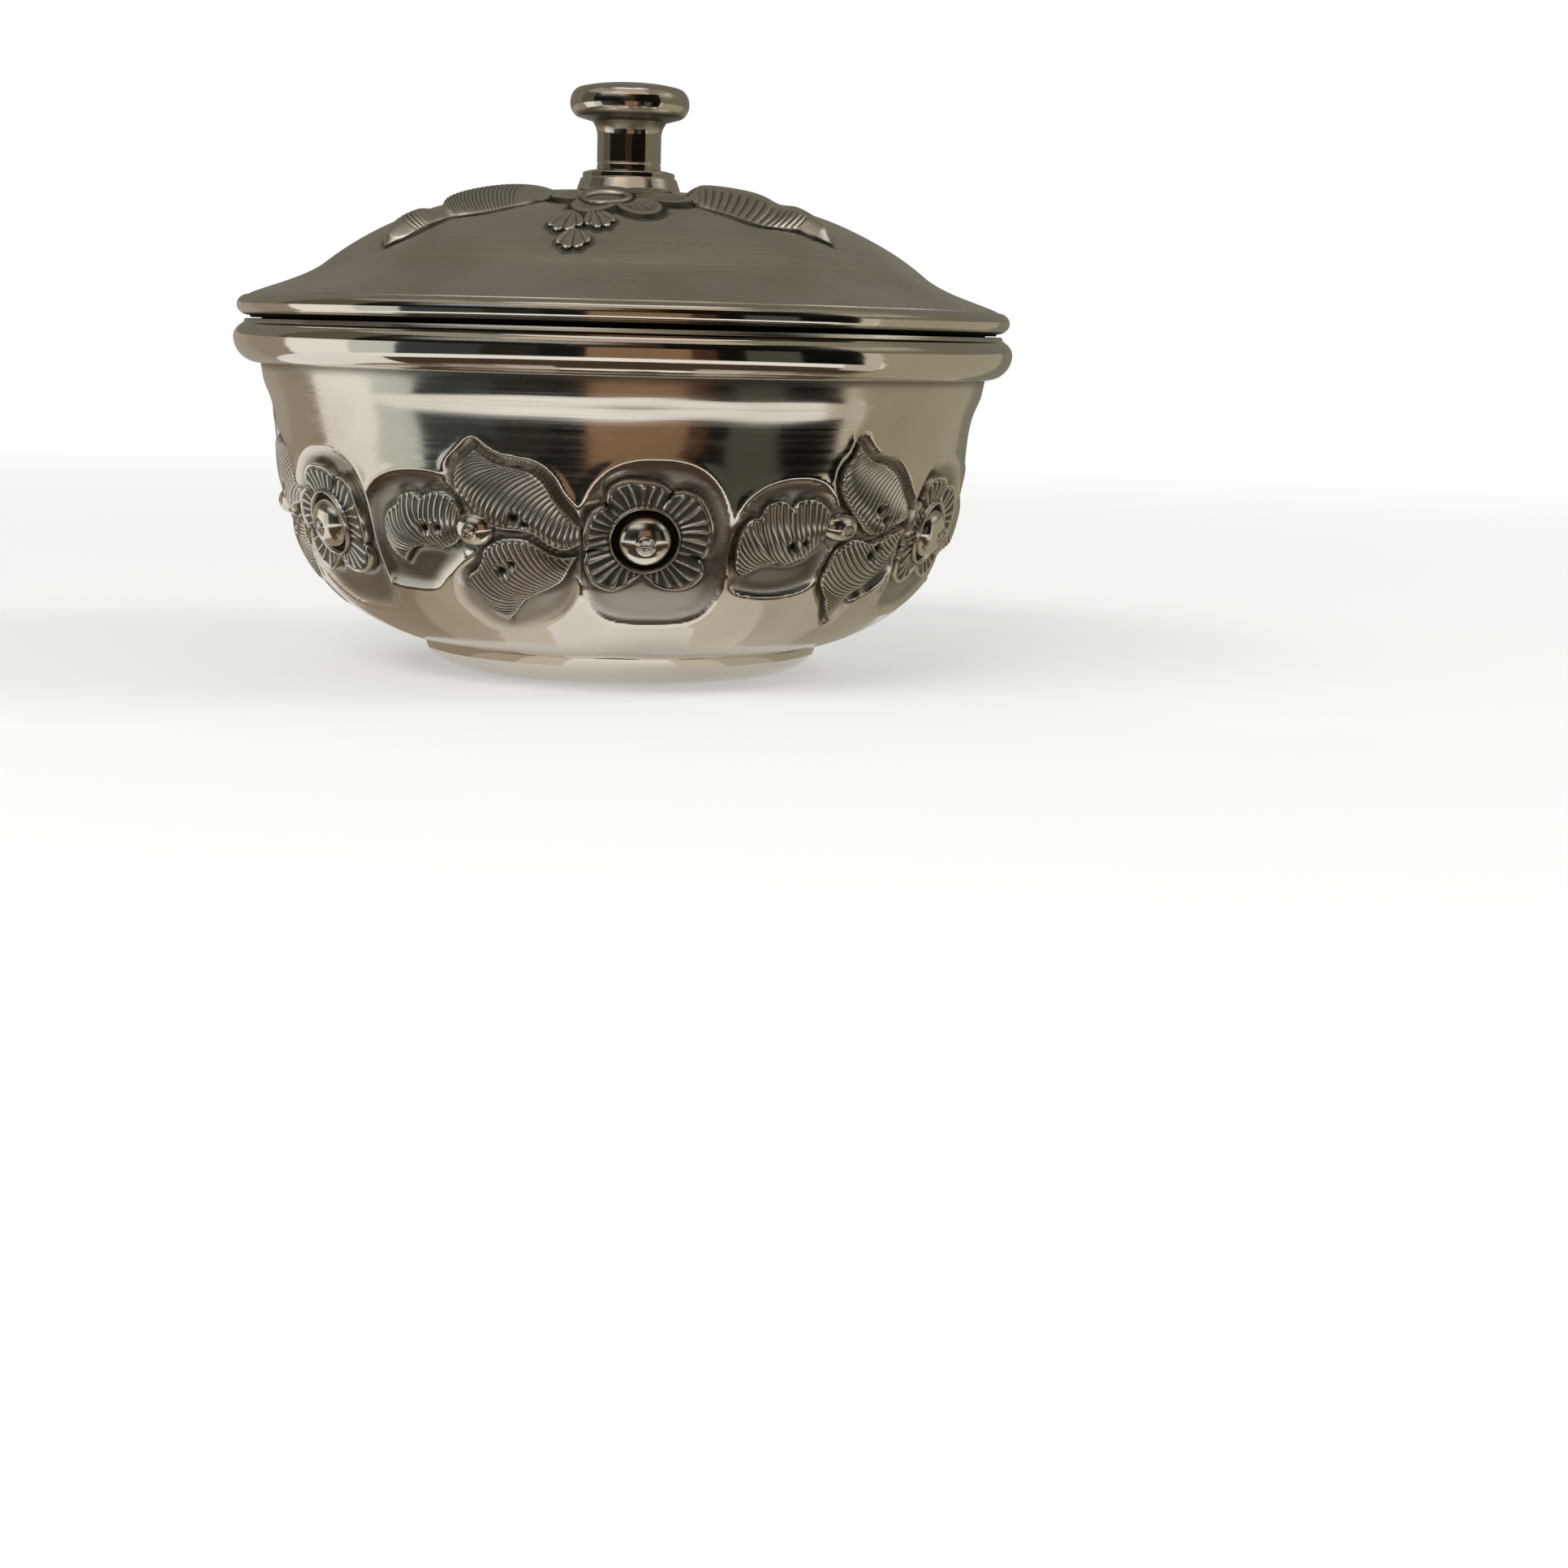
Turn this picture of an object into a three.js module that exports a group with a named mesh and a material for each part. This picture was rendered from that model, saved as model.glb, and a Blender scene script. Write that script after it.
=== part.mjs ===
// A silver-plated round box: a raised bowl on a spun foot, and a domed lid with a knob,
// which lifts straight off. Sizes are in millimetres, with +Z up and the origin at the
// centre of the flat land that the foot stands on. The pieces are turned or spun, so each
// is a section of radius and height swept round the Z axis. The flowers and leaves that are
// raised from the sheet are plain solids set on it, and -Y is the front.
import * as THREE from 'three';

// Flats round the turned pieces. Pieces that nest have the same count, so the flats line up.
const BODY_FACETS = 48;
const KNOB_FACETS = 32;
const SCREW_FACETS = 24;
const WALL_STEPS = 30;
const DOME_STEPS = 7;
const ARC_STEPS = 5;
const RIM_STEPS = 8;

// The sheet that the bowl, the lid, the foot and the locating ring are made of.
const BOWL_SHEET = 0.9;
const LID_SHEET = 0.9;
const FOOT_SHEET = 0.9;
const RING_SHEET = 0.9;

// The bowl: its wall stands nearly upright, then rounds in to the foot.
const SEAM_HEIGHT = 46.2;
const MOUTH_RADIUS = 48.9;
const WAIST_INSET = 2.3;
const WAIST_BELOW_SEAM = 18.4;
const BOWL_RIM_OVER_BELLY = 2.4;
const BOWL_RIM_UNDER_BELLY = 3.4;
const BOWL_RIM_WIDTH = 3.5;
const BOWL_RIM_TOP_ROUND = 50;
const BOWL_RIM_TOP_BEVEL = 0.4;
const RIM_BELOW_LIP = 0.1;

// The foot: a spun ring, rounded in from the bowl to a turned-in land.
const FOOT_HEIGHT = 3.9;
const FOOT_RADIUS = 27;
const FOOT_ROUND_WIDTH = 6.5;
const LAND_WIDTH = 3.5;

// The lid: a dome that turns out into a flange, with a round wire under its edge.
const DOME_HEIGHT = 17.8;
const DOME_FOOT_HEIGHT = 7.5;
const FLANGE_WIDTH = 9.9;
const FLANGE_EDGE_HEIGHT = 3.2;
const LID_OVERHANG = 1.4;
const LID_RIM_WIDTH = 1.6;
const LID_RIM_DROP = 0.1;

// The ring inside the lid that keeps it centred in the bowl's mouth.
const RING_DEPTH = 5;
const RING_LEAD = 0.4;

// The knob: its stem, the collar below it and the head above it.
const STEM_RADIUS = 4.3;
const STEM_HEIGHT = 6.4;
const STEM_FLARE = 0.65;
const STEM_FLARE_HEIGHT = 0.9;
const COLLAR_HEIGHT = 2.95;
const COLLAR_LEDGE = 0.8;
const COLLAR_BEVEL_WIDTH = 1.1;
const COLLAR_BEVEL_HEIGHT = 0.3;
const COLLAR_STEP_HEIGHT = 1.9;
const COLLAR_STEP_WIDTH = 0.2;
const COLLAR_FLARE = 0.6;
const COLLAR_SEAT_MARGIN = 1;
const HEAD_RADIUS = 8;
const HEAD_ROUND_WIDTH = 1.6;
const HEAD_LIFT = 1.1;
const HEAD_UNDER_ROUND = 1.3;
const HEAD_TOP_ROUND = 2.1;
const HEAD_CROWN = 0.6;
const HEAD_UNDER_TURN = 60;

// The bowl's ornament is drawn unrolled: across from the front at this radius, and down
// from the lip along the wall. Its ground is hammered in between these distances down.
const BAND_RADIUS = 44.65;
const BAND_STARTS = 9;
const BAND_FULL_FROM = 16;
const BAND_FULL_TO = 37.5;
const BAND_ENDS = 45;
const GROUND_DEPTH = 0.95;
const BAND_RINGS_FROM = 9;
const BAND_RINGS = 13;
const BAND_RING_STEP = 3.3;

// A flower stands on a pad, and its petals are drawn round the middle of its boss. Heights
// are over the wall as it would be without the hammered ground.
const FLOWERS = 6;
const FLOWER_MIDDLE = [2.7, 26.2];
const PAD_MIDDLE = [3.95, 26.5];
const PAD_HALF_WIDTH = 9;
const PAD_HALF_HEIGHT = 10.1;
const PAD_SQUARENESS = 2.8;
const PAD_EDGE_SHARE = 0.86;
const PAD_EDGE_HEIGHT = 0.4;
const PAD_HEIGHT = -0.1;
const PETALS = [
  [-0.7, -8], [-4.5, -6.8], [-6.2, -4.2], [-7.7, -0.8], [-7.5, 2.4], [-5.4, 6.7], [-2.1, 6.2],
  [-0.2, 5], [5.2, 6.6], [7.9, 4.3], [7.5, 2.7], [8.4, -1.8], [6.9, -5.6], [3.3, -6.6],
  [1.6, -7.7],
];
const PETAL_EDGE_SHARE = 0.96;
const PETAL_CREST_SHARE = 0.72;
const PETAL_EDGE_HEIGHT = 0;
const PETAL_HEIGHT = 0.4;
const BOSS_RADIUS = 2.95;
const BOSS_SHOULDER_SHARE = 0.72;
const BOSS_SHOULDER_HEIGHT = 1.15;
const BOSS_HEIGHT = 1.75;

// Outlines of the leaves, from the stalk over the top to the tip and back. The maker drew
// the sprays between the flowers in two ways, which take turns round the bowl.
const SPRAYS = 3;
const LEAVES = {
  left_spray: {
    side: [
      [-21.2, 25.4], [-20.8, 22.4], [-22.8, 20.6], [-25.8, 21.4], [-28.6, 21.2], [-31.1, 23.4],
      [-32, 26.8], [-31.2, 29.6], [-29.9, 30.4], [-27.4, 28.3], [-23.6, 28.1],
    ],
    upper: [
      [-6, 25.4], [-7.9, 21.5], [-10.6, 18], [-14.8, 17.2], [-18, 15.4], [-20.3, 17.6],
      [-20.6, 20.6], [-18.1, 23.5], [-14.8, 25.3], [-11.2, 26], [-8.6, 27.2], [-6.4, 27.2],
    ],
    lower: [
      [-6.2, 28.6], [-9.2, 28.2], [-12.4, 26.5], [-16.4, 27.1], [-18.5, 30], [-21, 33.2],
      [-19.6, 36.2], [-17.1, 39.6], [-14.2, 37], [-11.6, 34.5], [-8, 32.6],
    ],
  },
  right_spray: {
    side: [
      [26.2, 24.8], [25.8, 21.8], [23.4, 20.7], [21.3, 21.7], [18.6, 21.1], [16.8, 22.8],
      [14.6, 25.2], [14.4, 29.2], [15.7, 30.9], [18.4, 29.3], [22.2, 29.3], [24.8, 27.8],
    ],
    upper: [
      [40.6, 22.9], [40, 20.5], [37.4, 17.5], [33.3, 16.2], [30.7, 14], [28.8, 16.6],
      [28.1, 19], [29.5, 21.8], [32.1, 24.2], [35, 25.8], [38, 24.5],
    ],
    lower: [
      [40.8, 25.6], [37.8, 25.9], [35, 26.9], [31.6, 26.4], [28.9, 28], [28.2, 31.4],
      [30.3, 35], [33.5, 38.6], [34.3, 35], [37.6, 32.7], [39.6, 29.4],
    ],
  },
};
const LEAF_CREST_SHARE = 0.55;
const LEAF_EDGE_HEIGHT = 0.05;
const LEAF_CREST_HEIGHT = 0.8;
const LEAF_HEIGHT = 0.95;

// A form's back has a ring of corners here, as a share of its outline, so it follows the sheet.
const BACK_RING_SHARE = 0.5;

// The lid's ornament is drawn in X and Y, seen from above, and comes at the front and back.
// Heights are over the dome.
const LID_GROUPS = 2;
const LID_FLOWER_MIDDLE = [-1.4, -21.2];
const LID_FLOWER_RADIUS = 8;
const LID_FLOWER_POINTS = 12;
const LID_PETAL_SHARE = 0.78;
const LID_BOSS_SHARE = 0.3;
const LID_FORM_EDGE_HEIGHT = 0.35;
const LID_PETAL_HEIGHT = 1.2;
const LID_BOSS_FOOT_HEIGHT = 0.9;
const LID_BOSS_HEIGHT = 1.9;
const LID_LEAVES = {
  left: [
    [-9.8, -20.4], [-9.4, -16.6], [-10.8, -13], [-14.4, -11], [-18.8, -11.1], [-22.4, -13.3],
    [-25, -15.9], [-29.2, -16.8], [-30.6, -19.4], [-30.4, -22.4], [-25.2, -22.4],
    [-20.8, -22.2], [-17.8, -23.4], [-13.4, -22.8],
  ],
  right: [
    [7.3, -20.8], [9.2, -23.6], [12, -25.4], [15.9, -26.7], [19.2, -25.4], [23.2, -24.4],
    [26, -24], [25.2, -21], [23.2, -18.6], [21.2, -15.7], [18, -13], [14, -11.8],
    [10.3, -13.1], [7.9, -16.6],
  ],
};
const LID_LEAF_CREST_HEIGHT = 1.3;
const LID_LEAF_HEIGHT = 1.7;
const LID_FANS = [
  [-1.8, -31.4], [-4.5, -29.6], [-7.8, -28.8], [-9.6, -31], [-8.9, -34.4], [-7.2, -36.4],
  [-8, -39], [-6, -40.8], [-4.1, -39], [-4.8, -36.8], [-2, -36.4], [-1.2, -34],
];
const LID_FAN_HEIGHT = 0.65;

// The screw that holds the knob from inside the lid.
const SCREW_RADIUS = 1.5;
const SCREW_GRIP = 4.4;
const SCREW_CHAMFER = 0.4;
const SCREW_HEAD_RADIUS = 3.1;
const SCREW_HEAD_HEIGHT = 1.7;
const SCREW_HEAD_BEVEL = 0.6;
const WASHER_MARGIN = 1.1;
const WASHER_THICKNESS = 0.8;

// Clearances.
const RING_CLEARANCE = 0.4;
const SEAM_GAP = 0.3;
const SOLDER_GAP = 0.1;
const FORM_GAP = 0.15;
const SCREW_CLEARANCE = 0.2;
const THREAD_CLEARANCE = 0.1;
const SCREW_END_CLEARANCE = 0.6;

// Levels and radii worked out from the sizes above.
const BOWL_RIM_TOP = SEAM_HEIGHT - RIM_BELOW_LIP;
const BOWL_RIM_BELLY = BOWL_RIM_TOP - BOWL_RIM_OVER_BELLY;
const BOWL_RIM_FOOT = BOWL_RIM_BELLY - BOWL_RIM_UNDER_BELLY;
const LID_EDGE_RADIUS = MOUTH_RADIUS + LID_OVERHANG;
const RING_SEAT = SEAM_HEIGHT + RING_SHEET;
const DOME_TOP = SEAM_HEIGHT + DOME_HEIGHT;
const DOME_UNDERSIDE = DOME_TOP - LID_SHEET;
const COLLAR_TOP = DOME_TOP + COLLAR_HEIGHT;
const COLLAR_TOP_RADIUS = STEM_RADIUS + COLLAR_LEDGE;
const COLLAR_WAIST_RADIUS = COLLAR_TOP_RADIUS + COLLAR_BEVEL_WIDTH;
const COLLAR_STEP_RADIUS = COLLAR_WAIST_RADIUS + COLLAR_STEP_WIDTH;
const COLLAR_RADIUS = COLLAR_STEP_RADIUS + COLLAR_FLARE;
const STEM_TOP = COLLAR_TOP + STEM_HEIGHT;
const STEM_TOP_RADIUS = STEM_RADIUS + STEM_FLARE;
const SCREW_HOLE_RADIUS = SCREW_RADIUS + SCREW_CLEARANCE;
const WASHER_UNDERSIDE = DOME_UNDERSIDE - WASHER_THICKNESS;

const silverPlate = { color: 0xb8b0a0, roughness: 0.22, metalness: 1 };
const darkSilver = { color: 0x8d8474, roughness: 0.32, metalness: 1 };
const brass = { color: 0xb0935a, roughness: 0.35, metalness: 1 };

const at = (radius, height) => new THREE.Vector2(radius, height);

// A direction in the section, in degrees from the outward radius towards +Z.
function heading(degrees) {
  const angle = THREE.MathUtils.degToRad(degrees);
  return at(Math.cos(angle), Math.sin(angle));
}

// Points of a smooth curve that leaves its start and reaches its end along given headings.
// The pulls are shares of the straight distance: a longer pull makes that end straighter.
function bend(start, end, { leave, leavePull, reach, reachPull, steps }) {
  const span = start.distanceTo(end);
  const afterStart = start.clone().addScaledVector(heading(leave), leavePull * span);
  const beforeEnd = end.clone().addScaledVector(heading(reach), -reachPull * span);
  return new THREE.CubicBezierCurve(start, afterStart, beforeEnd, end).getPoints(steps);
}

// Points of an elliptical arc about a centre, between two angles in degrees.
function arc(centre, radiusOut, radiusUp, from, to, steps = ARC_STEPS) {
  return Array.from({ length: steps + 1 }, (_, step) => {
    const turn = heading(THREE.MathUtils.lerp(from, to, step / steps));
    return at(centre.x + radiusOut * turn.x, centre.y + radiusUp * turn.y);
  });
}

// The same line moved sideways by a sheet's thickness, to the left of its direction.
function offset(line, thickness) {
  const sides = line.slice(1).map((end, index) => {
    const along = end.clone().sub(line[index]).normalize();
    return at(-along.y, along.x);
  });
  return line.map((corner, index) => {
    const before = sides[Math.max(index - 1, 0)];
    const after = sides[Math.min(index, sides.length - 1)];
    const mitre = before.clone().add(after).normalize();
    return corner.clone().addScaledVector(mitre, thickness / mitre.dot(after));
  });
}

// The section of a spun sheet: its outside line, and back along its inside line.
function sheetSection(outside, thickness) {
  const inside = offset(outside, thickness);
  return [...outside, ...inside.reverse()];
}

// A section's line by the distance along it: the point there, moved out from the surface.
class Section {
  constructor(line) {
    this.line = line;
    this.distances = [0];
    line.slice(1).forEach((point, index) => {
      this.distances.push(this.distances[index] + point.distanceTo(line[index]));
    });
  }

  get length() {
    return this.distances.at(-1);
  }

  at(distance, height) {
    const found = this.distances.findIndex((reach, index) => index > 0 && reach >= distance);
    const end = found < 0 ? this.line.length - 1 : found;
    const [from, to] = [this.line[end - 1], this.line[end]];
    const share = (distance - this.distances[end - 1]) / from.distanceTo(to);
    const along = to.clone().sub(from).normalize();
    return from.clone().lerp(to, share).add(at(-along.y, along.x).multiplyScalar(height));
  }
}

// Sweeps a section round Z. It either starts and ends on the axis or is closed here, and it
// runs upwards on its outer side, so that its faces point out.
function turned(name, section, facets, finish) {
  const meetsAxis = section[0].x === 0 && section.at(-1).x === 0;
  const outline = meetsAxis ? section : [...section, section[0].clone()];
  const geometry = new THREE.LatheGeometry(outline, facets);
  geometry.rotateX(Math.PI / 2);
  const mesh = new THREE.Mesh(geometry, new THREE.MeshStandardMaterial(finish));
  mesh.name = name;
  return mesh;
}

// How far down the ground is hammered in, as a share of its full depth.
function band(down) {
  const above = THREE.MathUtils.smoothstep(down, BAND_STARTS, BAND_FULL_FROM);
  return above * (1 - THREE.MathUtils.smoothstep(down, BAND_FULL_TO, BAND_ENDS));
}

// The bowl's outside before its ground is hammered in, from the lip down to the base.
function bowlSection() {
  const base = at(FOOT_RADIUS, FOOT_HEIGHT);
  const waist = at(MOUTH_RADIUS - WAIST_INSET, SEAM_HEIGHT - WAIST_BELOW_SEAM);
  const shoulder = at(MOUTH_RADIUS, BOWL_RIM_FOOT);
  const bilge = { leave: 14, leavePull: 0.42, reach: 86, reachPull: 0.41, steps: WALL_STEPS };
  const side = { leave: 87, leavePull: 0.52, reach: 74, reachPull: 0.5, steps: WALL_STEPS };
  const upwards = [
    ...bend(base, waist, bilge),
    ...bend(waist, shoulder, side).slice(1),
    at(MOUTH_RADIUS, SEAM_HEIGHT),
  ];
  return new Section(upwards.reverse());
}

// The bowl's outside, from the middle of its base up to its lip.
function bowlOutside() {
  const section = bowlSection();
  const rings = Array.from({ length: BAND_RINGS }, (_, index) => {
    return BAND_RINGS_FROM + index * BAND_RING_STEP;
  });
  const downs = [0, SEAM_HEIGHT - BOWL_RIM_FOOT, ...rings, section.length];
  const downwards = downs.map((down) => section.at(down, -GROUND_DEPTH * band(down)));
  return [at(0, FOOT_HEIGHT), ...downwards.reverse()];
}

function bowlShell() {
  return turned('bowl_shell', sheetSection(bowlOutside(), BOWL_SHEET), BODY_FACETS, silverPlate);
}

// Places a spot of the unrolled bowl at a height over the wall, turned about Z.
function onBowl(section, turn) {
  return ([across, down], height) => {
    const { x, y } = section.at(down, height);
    const angle = across / BAND_RADIUS + turn;
    return new THREE.Vector3(x * Math.sin(angle), -x * Math.cos(angle), y);
  };
}

// Places a spot of the lid, seen from above, at a height over the dome, turned about Z.
function onLid(section, turn) {
  return ([across, along], height) => {
    const radius = Math.hypot(across, along);
    const end = section.line.findIndex((point) => point.x >= radius);
    const [from, to] = [section.line[end - 1], section.line[end]];
    const share = (radius - from.x) / (to.x - from.x);
    const distance = THREE.MathUtils.lerp(section.distances[end - 1], section.distances[end], share);
    const { x, y } = section.at(distance, height);
    const angle = Math.atan2(across, -along) + turn;
    return new THREE.Vector3(x * Math.sin(angle), -x * Math.cos(angle), y);
  };
}

// Joins rings of corners, each with as many as the last, from the point at the middle of a
// form's back to the one at the middle of its front.
function ringed(name, back, rings, front, finish) {
  const count = rings[0].length;
  const last = rings.length * count + 1;
  const corner = (level, step) => level * count + step % count + 1;
  const faces = [];
  for (let step = 0; step < count; step += 1) {
    faces.push(0, corner(0, step + 1), corner(0, step));
    for (let level = 0; level < rings.length - 1; level += 1) {
      const [low, lowNext] = [corner(level, step), corner(level, step + 1)];
      const [high, highNext] = [corner(level + 1, step), corner(level + 1, step + 1)];
      faces.push(low, lowNext, highNext, low, highNext, high);
    }
    faces.push(last, corner(rings.length - 1, step), corner(rings.length - 1, step + 1));
  }
  const geometry = new THREE.BufferGeometry().setFromPoints([back, ...rings.flat(), front]);
  geometry.setIndex(faces);
  geometry.computeVertexNormals();
  const mesh = new THREE.Mesh(geometry, new THREE.MeshStandardMaterial(finish));
  mesh.name = name;
  return mesh;
}

// An outline drawn towards a point: 1 leaves it, and 0 would bring it all there.
function drawnIn(outline, middle, share) {
  return outline.map(([across, along]) => [
    THREE.MathUtils.lerp(middle[0], across, share),
    THREE.MathUtils.lerp(middle[1], along, share),
  ]);
}

// A raised form. Its back lies on the sheet, and its front rises in steps, each an outline
// and its height over the sheet, to a height in the middle.
function raisedForm(name, place, sheetHeight, middle, steps, height) {
  const foot = steps[0].outline;
  const onSheet = (spot) => place(spot, sheetHeight(spot) + FORM_GAP);
  const rings = [
    drawnIn(foot, middle, BACK_RING_SHARE).map(onSheet),
    foot.map(onSheet),
    ...steps.map((step) => step.outline.map((spot) => place(spot, step.height(spot)))),
  ];
  return ringed(name, onSheet(middle), rings, place(middle, height), silverPlate);
}

// The ground's height at a spot of the unrolled bowl.
function ground([, down]) {
  return -GROUND_DEPTH * band(down);
}

function bowlFlower(name, place) {
  const petals = PETALS.map(([across, down]) => [FLOWER_MIDDLE[0] + across, FLOWER_MIDDLE[1] + down]);
  const pad = PETALS.map(([across, down]) => {
    const length = Math.hypot(across, down);
    const out = (Math.abs(across / length) / PAD_HALF_WIDTH) ** PAD_SQUARENESS;
    const up = (Math.abs(down / length) / PAD_HALF_HEIGHT) ** PAD_SQUARENESS;
    const reach = (out + up) ** (-1 / PAD_SQUARENESS) / length;
    return [PAD_MIDDLE[0] + across * reach, PAD_MIDDLE[1] + down * reach];
  });
  const boss = PETALS.map(([across, down]) => {
    const reach = BOSS_RADIUS / Math.hypot(across, down);
    return [FLOWER_MIDDLE[0] + across * reach, FLOWER_MIDDLE[1] + down * reach];
  });
  const steps = [
    { outline: pad, height: (spot) => ground(spot) + PAD_EDGE_HEIGHT },
    { outline: drawnIn(pad, PAD_MIDDLE, PAD_EDGE_SHARE), height: () => PAD_HEIGHT },
    { outline: drawnIn(petals, FLOWER_MIDDLE, PETAL_EDGE_SHARE), height: () => PETAL_EDGE_HEIGHT },
    { outline: drawnIn(petals, FLOWER_MIDDLE, PETAL_CREST_SHARE), height: () => PETAL_HEIGHT },
    { outline: boss, height: () => PAD_HEIGHT },
    { outline: drawnIn(boss, FLOWER_MIDDLE, BOSS_SHOULDER_SHARE), height: () => BOSS_SHOULDER_HEIGHT },
  ];
  return raisedForm(name, place, ground, FLOWER_MIDDLE, steps, BOSS_HEIGHT);
}

// The middle of an outline's corners.
function middleOf(outline) {
  const sum = outline.reduce(([x, y], spot) => [x + spot[0], y + spot[1]], [0, 0]);
  return [sum[0] / outline.length, sum[1] / outline.length];
}

// A leaf rises steeply at its edge and gently to the middle. Heights are its edge's, its
// crest's and its middle's.
function raisedLeaf(name, place, sheetHeight, outline, [edge, crest, middle]) {
  const centre = middleOf(outline);
  const steps = [
    { outline, height: () => edge },
    { outline: drawnIn(outline, centre, LEAF_CREST_SHARE), height: () => crest },
  ];
  return raisedForm(name, place, sheetHeight, centre, steps, middle);
}

function lidFlower(name, place) {
  const outline = Array.from({ length: LID_FLOWER_POINTS }, (_, index) => {
    const turn = heading(360 * index / LID_FLOWER_POINTS).multiplyScalar(LID_FLOWER_RADIUS);
    return [LID_FLOWER_MIDDLE[0] + turn.x, LID_FLOWER_MIDDLE[1] + turn.y];
  });
  const inwards = (share) => drawnIn(outline, LID_FLOWER_MIDDLE, share);
  const steps = [
    { outline, height: () => LID_FORM_EDGE_HEIGHT },
    { outline: inwards(LID_PETAL_SHARE), height: () => LID_PETAL_HEIGHT },
    { outline: inwards(LID_BOSS_SHARE), height: () => LID_BOSS_FOOT_HEIGHT },
  ];
  return raisedForm(name, place, () => 0, LID_FLOWER_MIDDLE, steps, LID_BOSS_HEIGHT);
}

// The flowers and the sprays of leaves, repeated at even turns round the bowl.
function bowlOrnament() {
  const section = bowlSection();
  const forms = [];
  for (let index = 0; index < FLOWERS; index += 1) {
    const place = onBowl(section, 2 * Math.PI * index / FLOWERS);
    forms.push(bowlFlower(`bowl_flower_${index + 1}`, place));
  }
  const heights = [LEAF_EDGE_HEIGHT, LEAF_CREST_HEIGHT, LEAF_HEIGHT];
  for (let index = 0; index < SPRAYS; index += 1) {
    const place = onBowl(section, 2 * Math.PI * index / SPRAYS);
    for (const [spray, leaves] of Object.entries(LEAVES)) {
      for (const [leaf, outline] of Object.entries(leaves)) {
        const name = `${spray}_${index + 1}_${leaf}_leaf`;
        forms.push(raisedLeaf(name, place, ground, outline, heights));
      }
    }
  }
  return forms;
}

// The lid's flower, two leaves and fans, at the front and at the back.
function lidOrnament() {
  const section = new Section(lidOutside().slice(1).reverse());
  const onDome = () => 0;
  const leafHeights = [LID_FORM_EDGE_HEIGHT, LID_LEAF_CREST_HEIGHT, LID_LEAF_HEIGHT];
  const fanHeights = [LID_FORM_EDGE_HEIGHT, LID_FAN_HEIGHT, LID_FAN_HEIGHT];
  const forms = [];
  for (let index = 0; index < LID_GROUPS; index += 1) {
    const place = onLid(section, 2 * Math.PI * index / LID_GROUPS);
    forms.push(lidFlower(`lid_flower_${index + 1}`, place));
    for (const [side, outline] of Object.entries(LID_LEAVES)) {
      const name = `lid_${side}_leaf_${index + 1}`;
      forms.push(raisedLeaf(name, place, onDome, outline, leafHeights));
    }
    forms.push(raisedLeaf(`lid_fans_${index + 1}`, place, onDome, LID_FANS, fanHeights));
  }
  return forms;
}

// The half-round moulding soldered round the outside of the mouth.
function bowlRimMoulding() {
  const belly = at(MOUTH_RADIUS + SOLDER_GAP, BOWL_RIM_BELLY);
  const under = arc(belly, BOWL_RIM_WIDTH, BOWL_RIM_UNDER_BELLY, -90, 0);
  const over = arc(belly, BOWL_RIM_WIDTH, BOWL_RIM_OVER_BELLY, 0, BOWL_RIM_TOP_ROUND);
  const section = [
    ...under,
    ...over.slice(1),
    at(over.at(-1).x - BOWL_RIM_TOP_BEVEL, BOWL_RIM_TOP),
    at(belly.x, BOWL_RIM_TOP),
  ];
  return turned('bowl_rim_moulding', section, BODY_FACETS, silverPlate);
}

// The foot's outside rounds in from the bowl's base to the land, which turns inwards.
function footRing() {
  const landRadius = FOOT_RADIUS - FOOT_ROUND_WIDTH;
  const round = arc(at(landRadius, FOOT_HEIGHT), FOOT_ROUND_WIDTH, FOOT_HEIGHT, -90, 0);
  const outside = [at(landRadius - LAND_WIDTH, 0), ...round];
  const inside = offset(outside, FOOT_SHEET);
  inside[inside.length - 1].y = FOOT_HEIGHT;
  return turned('foot_ring', [...outside, ...inside.reverse()], BODY_FACETS, silverPlate);
}

// The lid's outside, from its cut edge on the locating ring up to the screw hole.
function lidOutside() {
  const edge = at(LID_EDGE_RADIUS, SEAM_HEIGHT + FLANGE_EDGE_HEIGHT);
  const hollow = at(LID_EDGE_RADIUS - FLANGE_WIDTH, SEAM_HEIGHT + DOME_FOOT_HEIGHT);
  const crown = at(COLLAR_RADIUS + COLLAR_SEAT_MARGIN, DOME_TOP);
  const flange = { leave: 156, leavePull: 0.28, reach: 142, reachPull: 0.3, steps: ARC_STEPS };
  const dome = { leave: 141, leavePull: 0.3, reach: 180, reachPull: 0.39, steps: DOME_STEPS };
  return [
    at(LID_EDGE_RADIUS, RING_SEAT),
    ...bend(edge, hollow, flange),
    ...bend(hollow, crown, dome).slice(1),
    at(SCREW_HOLE_RADIUS, DOME_TOP),
  ];
}

function lidShell() {
  return turned('lid_shell', sheetSection(lidOutside(), LID_SHEET), BODY_FACETS, silverPlate);
}

// The rounded wire soldered round the edge of the lid, just clear of the bowl's moulding.
function lidRimMoulding() {
  const inner = LID_EDGE_RADIUS + SOLDER_GAP;
  const low = SEAM_HEIGHT + SEAM_GAP;
  const high = SEAM_HEIGHT + FLANGE_EDGE_HEIGHT - LID_RIM_DROP;
  const middle = at(inner, (low + high) / 2);
  const section = arc(middle, LID_RIM_WIDTH, (high - low) / 2, -90, 90, RIM_STEPS);
  return turned('lid_rim_moulding', section, BODY_FACETS, silverPlate);
}

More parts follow.
